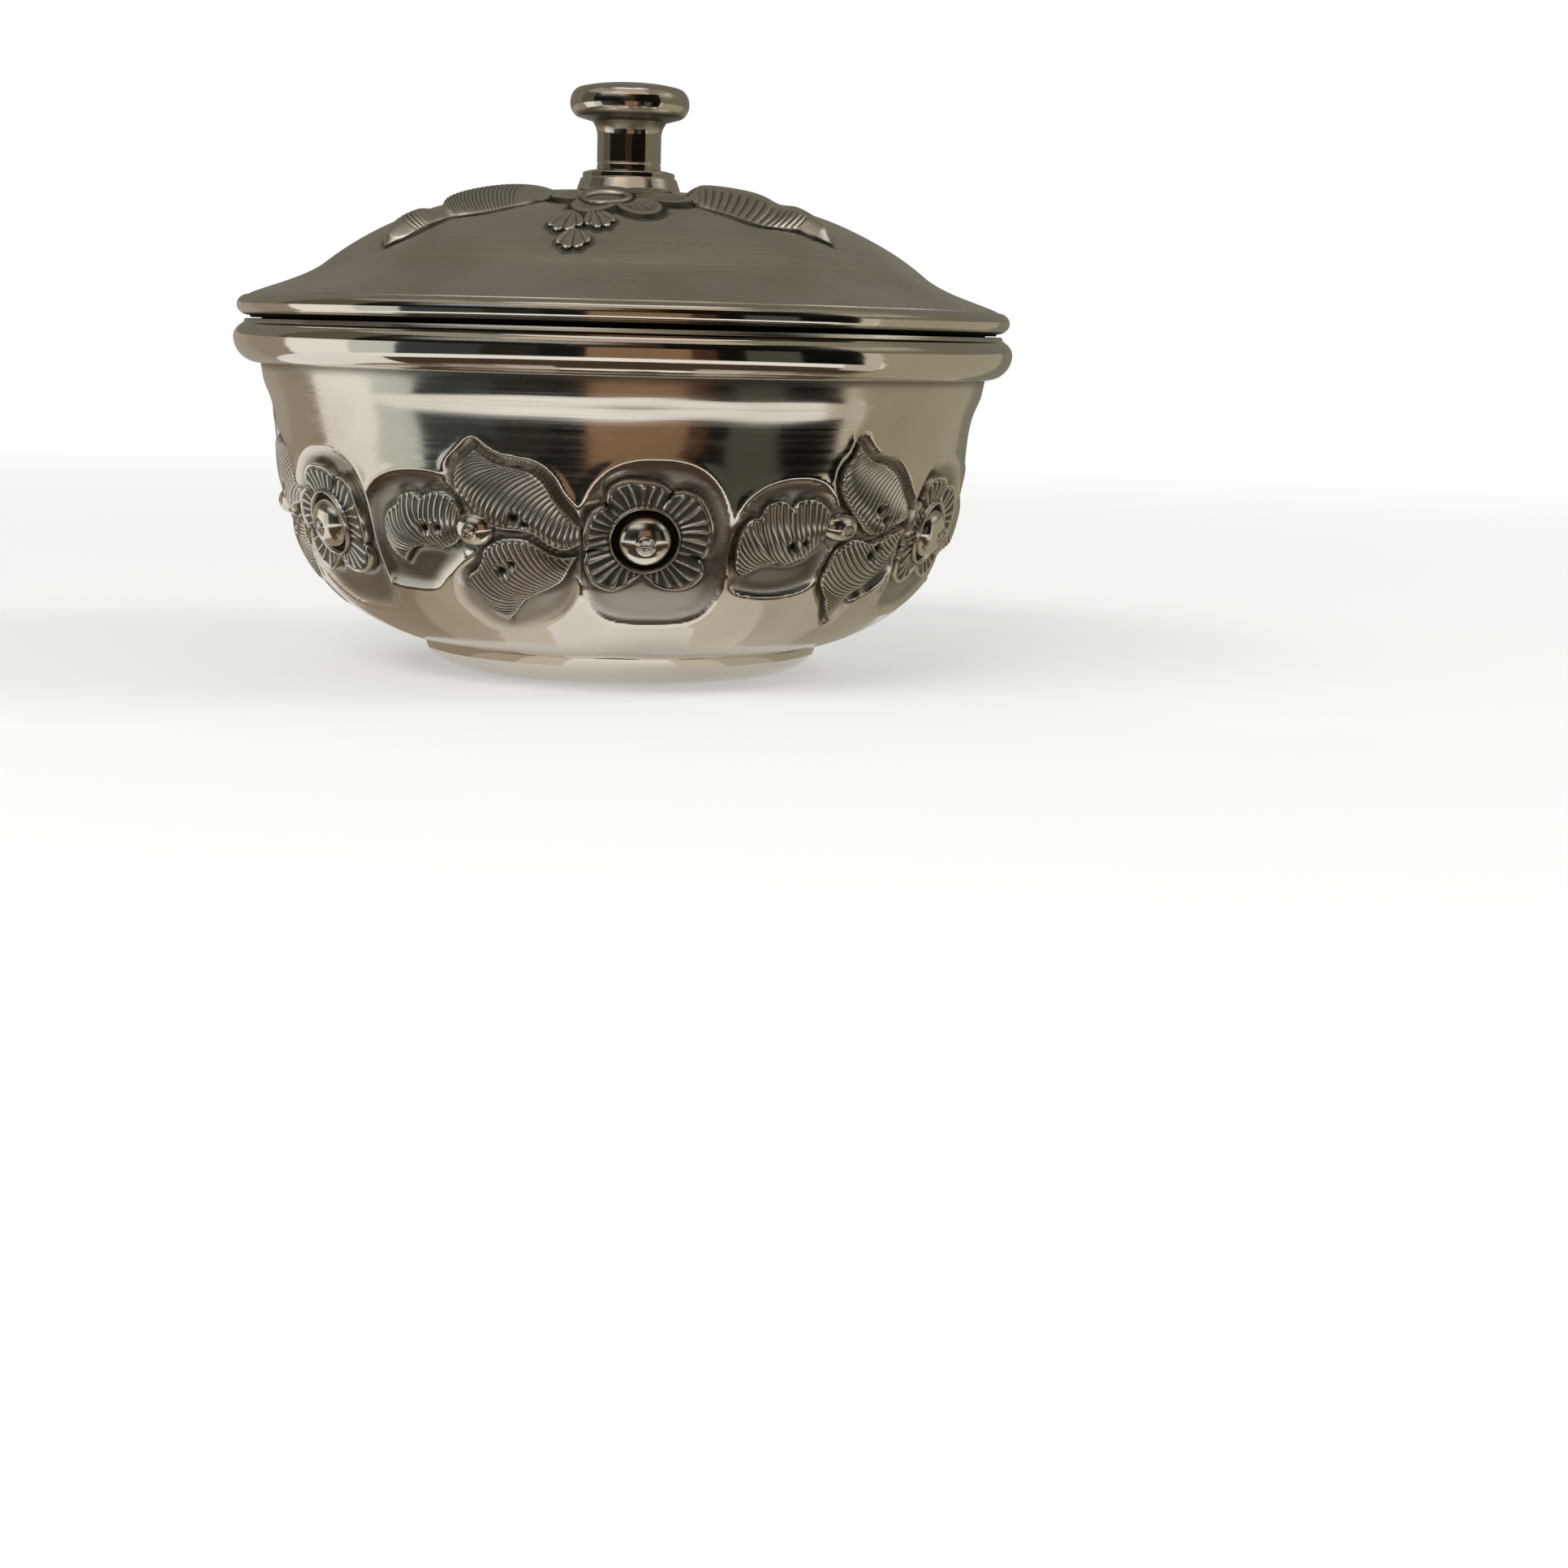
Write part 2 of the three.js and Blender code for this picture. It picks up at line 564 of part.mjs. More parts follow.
// An angle ring under the lid: its skirt fits the mouth, and its flat rests on the bowl's lip.
function lidLocatingRing() {
  const outer = MOUTH_RADIUS - BOWL_SHEET - RING_CLEARANCE;
  const inner = outer - RING_SHEET;
  const foot = SEAM_HEIGHT - RING_DEPTH;
  const section = [
    at(inner, foot),
    at(outer - RING_LEAD, foot),
    at(outer, foot + RING_LEAD),
    at(outer, SEAM_HEIGHT),
    at(LID_EDGE_RADIUS, SEAM_HEIGHT),
    at(LID_EDGE_RADIUS, RING_SEAT),
    at(inner, RING_SEAT),
  ];
  return turned('lid_locating_ring', section, BODY_FACETS, silverPlate);
}

// The stepped collar under the knob's stem, with a clear hole for the screw.
function knobCollar() {
  const step = DOME_TOP + COLLAR_STEP_HEIGHT;
  const section = [
    at(SCREW_HOLE_RADIUS, DOME_TOP),
    at(COLLAR_RADIUS, DOME_TOP),
    at(COLLAR_STEP_RADIUS, step),
    at(COLLAR_WAIST_RADIUS, step),
    at(COLLAR_WAIST_RADIUS, COLLAR_TOP - COLLAR_BEVEL_HEIGHT),
    at(COLLAR_TOP_RADIUS, COLLAR_TOP),
    at(SCREW_HOLE_RADIUS, COLLAR_TOP),
  ];
  return turned('knob_collar', section, KNOB_FACETS, silverPlate);
}

// The stem, which flares under the head and is drilled from below for the screw.
function knobStem() {
  const boreRadius = SCREW_RADIUS + THREAD_CLEARANCE;
  const boreTop = COLLAR_TOP + SCREW_GRIP + SCREW_END_CLEARANCE;
  const section = [
    at(0, boreTop),
    at(boreRadius, boreTop),
    at(boreRadius, COLLAR_TOP),
    at(STEM_RADIUS, COLLAR_TOP),
    at(STEM_RADIUS, STEM_TOP - STEM_FLARE_HEIGHT),
    at(STEM_TOP_RADIUS, STEM_TOP),
    at(0, STEM_TOP),
  ];
  return turned('knob_stem', section, KNOB_FACETS, silverPlate);
}

// The head: a thick button, dished below and slightly crowned on top.
function knobHead() {
  const edge = at(HEAD_RADIUS - HEAD_ROUND_WIDTH, STEM_TOP + HEAD_LIFT + HEAD_UNDER_ROUND);
  const below = arc(edge, HEAD_ROUND_WIDTH, HEAD_UNDER_ROUND, -HEAD_UNDER_TURN, 0);
  const above = arc(edge, HEAD_ROUND_WIDTH, HEAD_TOP_ROUND, 0, 90);
  const section = [
    at(0, STEM_TOP),
    at(STEM_TOP_RADIUS, STEM_TOP),
    ...below,
    ...above.slice(1),
    at(0, edge.y + HEAD_TOP_ROUND + HEAD_CROWN),
  ];
  return turned('knob_head', section, KNOB_FACETS, silverPlate);
}

// The washer lies under the middle of the dome, round the screw.
function knobWasher() {
  const radius = SCREW_HEAD_RADIUS + WASHER_MARGIN;
  const section = [
    at(SCREW_HOLE_RADIUS, WASHER_UNDERSIDE),
    at(radius, WASHER_UNDERSIDE),
    at(radius, DOME_UNDERSIDE),
    at(SCREW_HOLE_RADIUS, DOME_UNDERSIDE),
  ];
  return turned('knob_washer', section, SCREW_FACETS, darkSilver);
}

// The screw bears on the washer and runs up through the dome and the collar into the stem.
function knobScrew() {
  const bottom = WASHER_UNDERSIDE - SCREW_HEAD_HEIGHT;
  const tip = COLLAR_TOP + SCREW_GRIP;
  const section = [
    at(0, bottom),
    at(SCREW_HEAD_RADIUS - SCREW_HEAD_BEVEL, bottom),
    at(SCREW_HEAD_RADIUS, bottom + SCREW_HEAD_BEVEL),
    at(SCREW_HEAD_RADIUS, WASHER_UNDERSIDE),
    at(SCREW_RADIUS, WASHER_UNDERSIDE),
    at(SCREW_RADIUS, tip - SCREW_CHAMFER),
    at(SCREW_RADIUS - SCREW_CHAMFER, tip),
    at(0, tip),
  ];
  return turned('knob_screw', section, SCREW_FACETS, brass);
}

const box = new THREE.Group();

const bowl = new THREE.Group();
bowl.add(bowlShell(), bowlRimMoulding(), footRing(), ...bowlOrnament());
box.add(bowl);

const lid = new THREE.Group();
lid.add(lidShell(), lidRimMoulding(), lidLocatingRing(), ...lidOrnament());
box.add(lid);

const knob = new THREE.Group();
knob.add(knobCollar(), knobStem(), knobHead(), knobWasher(), knobScrew());
lid.add(knob);

export default box;
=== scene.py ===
"""A silver-plated round box on a low foot, with a domed lid, dressed round its CAD frame.

The bowl and the lid are raised from sheet. Their flowers and leaves are pushed out from
behind and chased from the front, so each stands in a dish of the wall, inside a groove
painted dark as shade. Sizes in the properties are metres; the drawing of the ornament is in
millimetres.
"""

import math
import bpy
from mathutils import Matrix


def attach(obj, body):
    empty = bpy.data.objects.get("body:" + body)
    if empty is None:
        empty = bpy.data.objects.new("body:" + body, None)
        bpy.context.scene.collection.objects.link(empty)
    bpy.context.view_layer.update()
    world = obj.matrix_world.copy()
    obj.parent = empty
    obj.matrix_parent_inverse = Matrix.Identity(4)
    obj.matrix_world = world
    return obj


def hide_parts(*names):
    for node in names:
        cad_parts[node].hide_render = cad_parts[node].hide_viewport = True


bl_info = {
    "name": "Lidded Silver Box",
    "version": (1, 0, 0),
    "blender": (4, 5, 0),
    "location": "3D View > Sidebar > Silver Box",
    "description": "Builds a chased silver-plated box with a domed lid round its CAD frame",
    "category": "Object",
}

from dataclasses import dataclass
from functools import partial
from types import SimpleNamespace

import bmesh
import bpy
import numpy as np
from mathutils import Matrix, Vector

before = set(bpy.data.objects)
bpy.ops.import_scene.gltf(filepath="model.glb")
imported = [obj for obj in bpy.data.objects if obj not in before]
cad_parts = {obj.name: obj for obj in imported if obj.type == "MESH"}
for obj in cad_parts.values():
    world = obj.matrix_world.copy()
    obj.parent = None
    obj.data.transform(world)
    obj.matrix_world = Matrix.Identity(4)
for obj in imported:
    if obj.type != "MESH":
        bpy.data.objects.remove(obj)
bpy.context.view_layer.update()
MM = 0.001
COLLAR_HEIGHT = 2.95
KNOB_BORE = 1.7

# Where the ornament sits. The bowl is drawn unrolled: across at this radius, and down from
# the lip along the wall. The lid is drawn from above, with the front at negative Y.
BAND_RADIUS = 44.65
SPRAYS = 3
LID_GROUPS = 2

# Edges of the leaves in the left spray of the front, from the stalk to the tip.
LEFT_SPRAY = {
    "side": (
        [(-20.6, 24.6), (-20.3, 22.6), (-21.2, 21.2), (-23.0, 20.4), (-24.8, 20.8),
         (-25.8, 21.4), (-27.2, 20.8), (-28.7, 21.1), (-29.6, 22.4), (-31.1, 23.3),
         (-32.0, 24.8), (-32.2, 27.0), (-31.9, 28.8), (-31.0, 30.0), (-29.9, 30.6)],
        [(-20.6, 26.2), (-21.1, 27.6), (-22.9, 28.3), (-24.8, 28.1), (-27.2, 28.3),
         (-28.5, 29.0), (-29.9, 30.6)],
    ),
    "upper": (
        [(-5.2, 24.4), (-6.6, 22.8), (-7.9, 21.2), (-9.0, 19.2), (-10.6, 17.9),
         (-12.4, 17.5), (-14.8, 17.1), (-16.6, 16.3), (-18.1, 15.2)],
        [(-5.0, 27.0), (-7.0, 27.9), (-9.0, 27.4), (-10.8, 26.1), (-12.4, 25.6),
         (-14.8, 25.5), (-16.4, 25.1), (-18.1, 23.6), (-19.5, 21.9), (-20.6, 20.8),
         (-20.9, 19.2), (-20.5, 17.6), (-19.4, 16.5), (-18.1, 15.2)],
    ),
    "lower": (
        [(-5.6, 28.2), (-7.4, 28.6), (-9.2, 28.0), (-10.8, 26.9), (-12.4, 26.3),
         (-14.8, 26.3), (-16.6, 27.0), (-17.8, 28.0), (-18.4, 29.5), (-19.3, 30.8),
         (-20.7, 31.8), (-21.2, 33.3), (-20.8, 35.0), (-19.5, 36.4), (-18.9, 37.6),
         (-18.2, 39.1), (-16.9, 40.0)],
        [(-5.6, 28.8), (-6.3, 30.2), (-7.4, 32.2), (-9.2, 33.5), (-11.6, 34.6),
         (-13.7, 36.3), (-15.1, 37.9), (-16.9, 40.0)],
    ),
    "dots": [(-25.4, 25.5, 0.8), (-23.5, 25.4, 0.6), (-13.3, 23.6, 0.9), (-12.0, 24.5, 0.6),
             (-15.5, 30.8, 0.9), (-14.0, 29.8, 0.6)],
    "ball": (-18.7, 25.4, 2.7, 2.5),
    "dishes": [
        [(-20.0, 21.5), (-22.0, 18.9), (-25.5, 18.3), (-30.0, 18.8), (-33.4, 20.8),
         (-34.9, 24.5), (-35.0, 29.5), (-33.9, 33.2), (-30.0, 34.1), (-26.0, 33.9),
         (-23.6, 32.0), (-20.6, 29.4), (-19.0, 27.0)],
        [(-17.6, 27.4), (-19.6, 30.0), (-22.2, 32.2), (-22.9, 35.4), (-21.6, 38.4),
         (-19.6, 40.8), (-16.4, 41.6), (-12.6, 40.2), (-8.4, 37.6), (-5.9, 34.0),
         (-5.5, 29.6), (-8.0, 27.6), (-13.0, 26.4)],
    ],
}

# The same for the right spray of the front, which the maker drew a little differently.
RIGHT_SPRAY = {
    "side": (
        [(26.6, 23.8), (26.7, 22.4), (26.0, 21.4), (24.7, 20.7), (23.4, 20.5), (22.2, 20.8),
         (21.3, 21.7), (20.2, 20.9), (18.9, 20.8), (17.6, 21.5), (17.0, 22.9), (15.9, 23.1),
         (14.9, 24.2), (14.3, 26.0), (14.1, 28.0), (14.4, 29.8), (15.6, 31.1)],
        [(26.6, 25.4), (26.1, 26.6), (24.8, 28.0), (23.5, 29.1), (21.8, 29.6), (20.0, 29.3),
         (18.4, 29.4), (17.2, 30.1), (15.6, 31.1)],
    ),
    "upper": (
        [(42.0, 23.0), (41.2, 21.8), (40.0, 20.2), (38.8, 18.5), (37.4, 17.3), (35.6, 16.5),
         (33.3, 16.1), (31.8, 15.1), (30.6, 13.8)],
        [(41.8, 24.0), (39.6, 24.5), (37.8, 24.8), (36.8, 25.6), (35.0, 26.0), (33.2, 25.4),
         (32.0, 24.3), (30.6, 23.2), (29.4, 21.9), (28.4, 20.3), (27.9, 18.5), (28.4, 17.0),
         (29.5, 16.0), (30.6, 13.8)],
    ),
    "lower": (
        [(41.6, 24.8), (39.6, 25.4), (38.0, 25.7), (37.0, 26.4), (35.0, 26.8), (33.0, 26.3),
         (31.6, 26.2), (30.2, 26.8), (28.9, 27.8), (28.2, 30.0), (28.0, 31.9), (28.8, 33.5),
         (30.3, 35.1), (31.3, 36.6), (32.4, 37.8), (33.6, 38.8)],
        [(41.8, 25.6), (40.7, 27.2), (39.8, 29.2), (39.1, 31.2), (37.6, 32.8), (35.7, 33.8),
         (34.3, 35.0), (33.9, 36.6), (33.6, 38.8)],
    ),
    "dots": [(21.8, 26.9, 0.8), (23.6, 26.4, 0.65), (34.9, 22.4, 0.9), (36.1, 23.7, 0.65),
             (35.2, 28.6, 0.85), (36.4, 27.6, 0.6)],
    "ball": (29.0, 24.6, 2.8, 2.0),
    "dishes": [
        [(27.6, 22.8), (26.0, 19.6), (23.6, 18.4), (20.0, 18.4), (16.6, 19.6), (14.2, 22.2),
         (13.5, 26.0), (13.4, 30.0), (14.2, 32.8), (17.6, 34.0), (22.0, 34.0), (25.6, 32.8),
         (27.4, 30.0), (28.4, 26.6)],
    ],
}

# The front flower's outline about its middle, clockwise from the top petal, and the
# directions of the notches between its petals, in degrees up from the right.
FLOWER_CENTRE = (2.7, 26.2)
FLOWER_OUTLINE = [
    (-0.7, -8.0), (1.6, -7.7), (3.3, -6.6), (5.0, -6.7), (6.9, -5.6), (8.2, -3.0), (8.5, -0.6),
    (8.2, 1.4), (7.5, 2.7), (7.9, 4.3), (6.4, 6.2), (3.9, 6.8), (1.6, 6.2), (-0.2, 5.0),
    (-2.1, 6.2), (-4.3, 7.1), (-6.7, 5.9), (-7.7, 3.5), (-7.5, 1.8), (-7.7, -0.8),
    (-6.8, -3.6), (-5.0, -5.0), (-4.5, -6.8), (-2.8, -7.9),
]
PETAL_NOTCHES = [-167, -92, -19, 63, 136]
# The middle of the dish round it, and half its width and height.
FLOWER_DISH = (3.9, 27.6, 9.15, 11.4)

# The lid's ornament: one flower at the front with a leaf on each side and three fluted
# fans below it, drawn from above and repeated round the knob.
LID_LEAVES = {
    "left": (
        [(-9.4, -20.2), (-8.8, -16.6), (-10.6, -12.8), (-14.4, -10.8), (-18.8, -10.9),
         (-22.4, -13.2), (-24.2, -16.0), (-26.6, -15.6), (-29.4, -16.6), (-31.0, -19.0),
         (-30.8, -22.6)],
        [(-9.4, -21.4), (-11.6, -22.4), (-14.4, -23.4), (-17.8, -23.7), (-20.8, -22.4),
         (-22.6, -21.6), (-25.2, -22.6), (-28.0, -23.2), (-30.8, -22.6)],
    ),
    "right": (
        [(7.0, -19.8), (7.6, -16.4), (10.2, -12.9), (14.0, -11.6), (18.2, -12.8),
         (21.4, -15.6), (23.4, -18.6), (25.4, -21.0), (26.2, -24.2)],
        [(7.0, -21.6), (8.8, -23.6), (11.8, -25.6), (15.9, -26.9), (19.2, -25.6),
         (21.4, -24.6), (23.6, -24.6), (26.2, -24.2)],
    ),
}
LID_FLOWER = (-0.9, -21.6)
LID_CUP = (-1.9, -1.5)
LID_FANS = [
    (-6.6, -27.0, -8.2, -34.0, 4.4, 4),
    (-4.6, -27.0, -3.0, -33.8, 3.7, 4),
    (-6.4, -32.8, -6.8, -37.8, 5.0, 4),
]


def linear(code):
    """Linear RGB of an sRGB hex colour."""
    channels = [int(code[i:i + 2], 16) / 255 for i in (1, 3, 5)]
    return tuple(c / 12.92 if c <= 0.04045 else ((c + 0.055) / 1.055) ** 2.4 for c in channels)


def smooth(value, low, high):
    """0 below low, 1 above high, and an even S between them."""
    share = np.clip((value - low) / (high - low), 0, 1)
    return share * share * (3 - 2 * share)


def bell(value, middle, width):
    """1 at the middle, and a soft fall on both sides of it."""
    return np.exp(-((value - middle) / width) ** 2)


def full_turn(count):
    """Equal steps of a full turn, in radians, without its end."""
    return np.linspace(0, 2 * math.pi, count, endpoint=False)


def round_axis(radius, turn, level):
    """Points at a radius and a level, turned from the front towards +X."""
    return np.stack(np.broadcast_arrays(radius * np.sin(turn), -radius * np.cos(turn), level), -1)


def measures(context):
    """The panel's sizes in millimetres."""
    sizes = context.scene.silver_box_sizes
    return SimpleNamespace(**{name: getattr(sizes, name) / MM
                              for name in SilverBoxSizes.__annotations__})


def placed(name, data):
    """A new object in the scene."""
    made = bpy.data.objects.new(name, data)
    bpy.context.scene.collection.objects.link(made)
    return made


def set_painted_shade(mesh, dark):
    """Writes each point's share of painted shade, which the metals read."""
    mesh.attributes.new("recess", "FLOAT", "POINT").data.foreach_set(
        "value", np.asarray(dark, np.float32))


def heading(degrees):
    """The unit vector in a section, turned up from the outward radius."""
    return np.array([math.cos(math.radians(degrees)), math.sin(math.radians(degrees))])


def bend(start, end, leave, leave_pull, reach, reach_pull, steps):
    """Points of a smooth curve that leaves start and reaches end along given headings."""
    start, end = np.array(start, float), np.array(end, float)
    span = np.linalg.norm(end - start)
    a, b = start + heading(leave) * leave_pull * span, end - heading(reach) * reach_pull * span
    t = np.linspace(0, 1, steps + 1)[:, None]
    return (1 - t) ** 3 * start + 3 * (1 - t) ** 2 * t * a + 3 * (1 - t) * t * t * b + t ** 3 * end


def arc(centre, across, up, start, end, steps):
    """Points of an elliptical arc in a section."""
    turns = np.radians(np.linspace(start, end, steps + 1))
    return np.stack([centre[0] + across * np.cos(turns), centre[1] + up * np.sin(turns)], 1)


def lengths(line):
    """The distance along a line to each of its points."""
    return np.concatenate([[0], np.cumsum(np.linalg.norm(np.diff(line, axis=0), axis=1))])


def spline(points, closed=False, step=0.3):
    """An evenly spaced smooth line through points."""
    p = np.array(points, float)
    p = np.concatenate([p[-1:], p, p[:2]]) if closed else np.concatenate([p[:1], p, p[-1:]])
    t = np.linspace(0, 1, 12, endpoint=False)[:, None]
    runs = []
    for a, b, c, d in zip(p[:-3], p[1:-2], p[2:-1], p[3:]):
        runs.append(0.5 * (2 * b + (c - a) * t + (2 * a - 5 * b + 4 * c - d) * t ** 2
                           + (3 * b - a - 3 * c + d) * t ** 3))
    line = np.concatenate(runs + [p[-2:-1]])
    return resample(line, max(int(lengths(line)[-1] / step), 4))


def resample(line, count):
    """The same line as count equal steps."""
    length = lengths(line)
    s = np.linspace(0, length[-1], count + 1)
    return np.stack([np.interp(s, length, side) for side in line.T], 1)


def distance(points, outline):
    """Signed distance from points to a closed outline, negative inside it."""
    start, end = outline, np.roll(outline, -1, axis=0)
    best = np.full(len(points), 1e9)
    inside = np.zeros(len(points), bool)
    x, y = points[:, 0], points[:, 1]
    for (x0, y0), (x1, y1) in zip(start, end):
        dx, dy = x1 - x0, y1 - y0
        along = np.clip(((x - x0) * dx + (y - y0) * dy) / max(dx * dx + dy * dy, 1e-12), 0, 1)
        best = np.minimum(best, np.hypot(x - x0 - along * dx, y - y0 - along * dy))
        if y0 != y1:
            inside ^= ((y0 > y) != (y1 > y)) & (x < x0 + (y - y0) / (y1 - y0) * dx)
    return np.where(inside, -best, best)


def leaf_outline(edges):
    """A leaf's two edges as one closed line."""
    return np.concatenate([spline(edges[0]), spline(edges[1])[::-1]])


class Section:
    """A sheet's outside line, by the distance along it, with the direction it faces."""

    def __init__(self, line):
        self.line = np.array(line, float)
        self.length = lengths(self.line)
        along = np.gradient(self.line, self.length, axis=0)
        self.out = np.stack([-along[:, 1], along[:, 0]], 1)
        self.out /= np.linalg.norm(self.out, axis=1)[:, None]

    def at(self, t, height):
        """Radius and height above the ground of points at t along the line."""
        radius, level = (np.interp(t, self.length, side) for side in self.line.T)
        out_r, out_z = (np.interp(t, self.length, side) for side in self.out.T)
        size = np.hypot(out_r, out_z)
        return radius + height * out_r / size, level + height * out_z / size


def bowl_section(mm):
    """The bowl's outside from the lip down to the edge of its base."""
    seam, mouth, foot = mm.seam_height, mm.mouth_radius, mm.foot_radius
    base = (foot, mm.foot_height)
    waist = (mouth - mm.waist_inset, seam - mm.waist_below_seam)
    shoulder = (mouth, seam - mm.bowl_rim_depth)
    up = np.concatenate([
        bend(base, waist, 14, 0.42, 86, 0.41, 90),
        bend(waist, shoulder, 87, 0.52, 74, 0.5, 40)[1:],
        [(mouth, seam)],
    ])
    return Section(up[::-1])


def lid_section(mm):
    """The lid's outside from the knob's collar to the edge of its flange."""
    seam, edge = mm.seam_height, mm.mouth_radius + mm.lid_overhang
    rim = (edge, seam + mm.flange_height)
    hollow = (edge - mm.flange_width, seam + mm.dome_foot_height)
    crown = (8.0, seam + mm.dome_height)
    inwards = np.concatenate([
        bend(rim, hollow, 156, 0.28, 142, 0.3, 30),
        bend(hollow, crown, 141, 0.3, 180, 0.39, 90)[1:],
        [(1.7, crown[1])],
    ])
    return Section(inwards[::-1])


def on_bowl(section):
    """Places unrolled points of the bowl's band, in millimetres, at a height above it."""
    def place(across, down, height):
        radius, level = section.at(down, height)
        return round_axis(radius, across / BAND_RADIUS, level)
    return place


def on_lid(section):
    """Places points drawn on the lid from above at a height over it."""
    radii = section.line[:, 0]

    def place(x, y, height):
        radius = np.hypot(x, y)
        out, level = section.at(np.interp(radius, radii, section.length), height)
        share = out / np.maximum(radius, 1e-6)
        return np.stack([x * share, y * share, level], -1)
    return place


class Mesh:
    """Points, faces and the share of dark in each point, gathered for one piece."""

    def __init__(self):
        self.points, self.dark, self.faces, self.count = [], [], [], 0

    def add(self, points, dark):
        """Adds points in millimetres and gives the number of the first."""
        points = np.asarray(points, float).reshape(-1, 3)
        self.points.append(points)
        self.dark.append(np.broadcast_to(np.asarray(dark, float).ravel(), len(points)))
        self.count += len(points)
        return self.count - len(points)

    def grid(self, points, dark, closed=False, flip=False):
        """Adds a grid of rows; closed joins each row's end to its start."""
        rows, columns = points.shape[:2]
        first = self.add(points, dark)
        i, j = np.meshgrid(np.arange(rows - 1), np.arange(columns - (0 if closed else 1)),
                           indexing="ij")
        k = (j + 1) % columns
        quads = np.stack([i * columns + j, (i + 1) * columns + j, (i + 1) * columns + k,
                          i * columns + k], -1).reshape(-1, 4) + first
        self.faces += (quads[:, ::-1] if flip else quads).tolist()
        return first

    def object(self, name, finish):
        """The finished object, in metres, with its dark share as an attribute."""
        mesh = bpy.data.meshes.new(name)
        mesh.from_pydata((np.concatenate(self.points) * MM).tolist(), [], self.faces)
        set_painted_shade(mesh, np.concatenate(self.dark))
        mesh.shade_smooth()
        mesh.materials.append(finish)
        mesh.validate()
        return placed(name, mesh)


def lathe(mesh, rows, darks, flip=False):
    """Joins rings of points, each the same size as the last, twice it, half it or one."""
    starts = [mesh.add(row, dark) for row, dark in zip(rows, darks)]
    for (a, b), (ra, rb) in zip(zip(starts, starts[1:]), zip(rows, rows[1:])):
        na, nb = len(ra), len(rb)
        if na == nb:
            new = [(a + i, a + (i + 1) % na, b + (i + 1) % na, b + i) for i in range(na)]
        elif nb == 1:
            new = [(a + i, a + (i + 1) % na, b) for i in range(na)]
        elif na == 1:
            new = [(a, b + (i + 1) % nb, b + i) for i in range(nb)]
        elif nb == 2 * na:
            new = [(a + i, a + (i + 1) % na, b + (2 * i + 2) % nb, b + 2 * i + 1, b + 2 * i)
                   for i in range(na)]
        else:
            new = [(a + 2 * i, a + 2 * i + 1, a + (2 * i + 2) % na, b + (i + 1) % nb, b + i)
                   for i in range(nb)]
        mesh.faces += [f[::-1] for f in new] if flip else new


@dataclass
class Leaf:
    """How a leaf is raised and chased, in millimetres and in shares of its length or width."""

    crest: float  # where the crest lies between the edges
    top: float  # levels of the crest, the rim and the foot
    rim: float
    foot: float
    pitch: float  # from one line to the next
    depth: float  # of a line
    lined: tuple = ((0, 1),)  # the stretches of its length that have lines
    across: tuple = (0, 1)  # the stretch of its width that has them
    swell: tuple = ()  # place, spread and amount of each swelling
    bow: float = 0.16  # how far the lines bow towards the tip
    roundness: float = 0.85
    edge: float = 0.26  # width of the dark edge
    roll: float = 0.09  # height of the rolled rim inside it


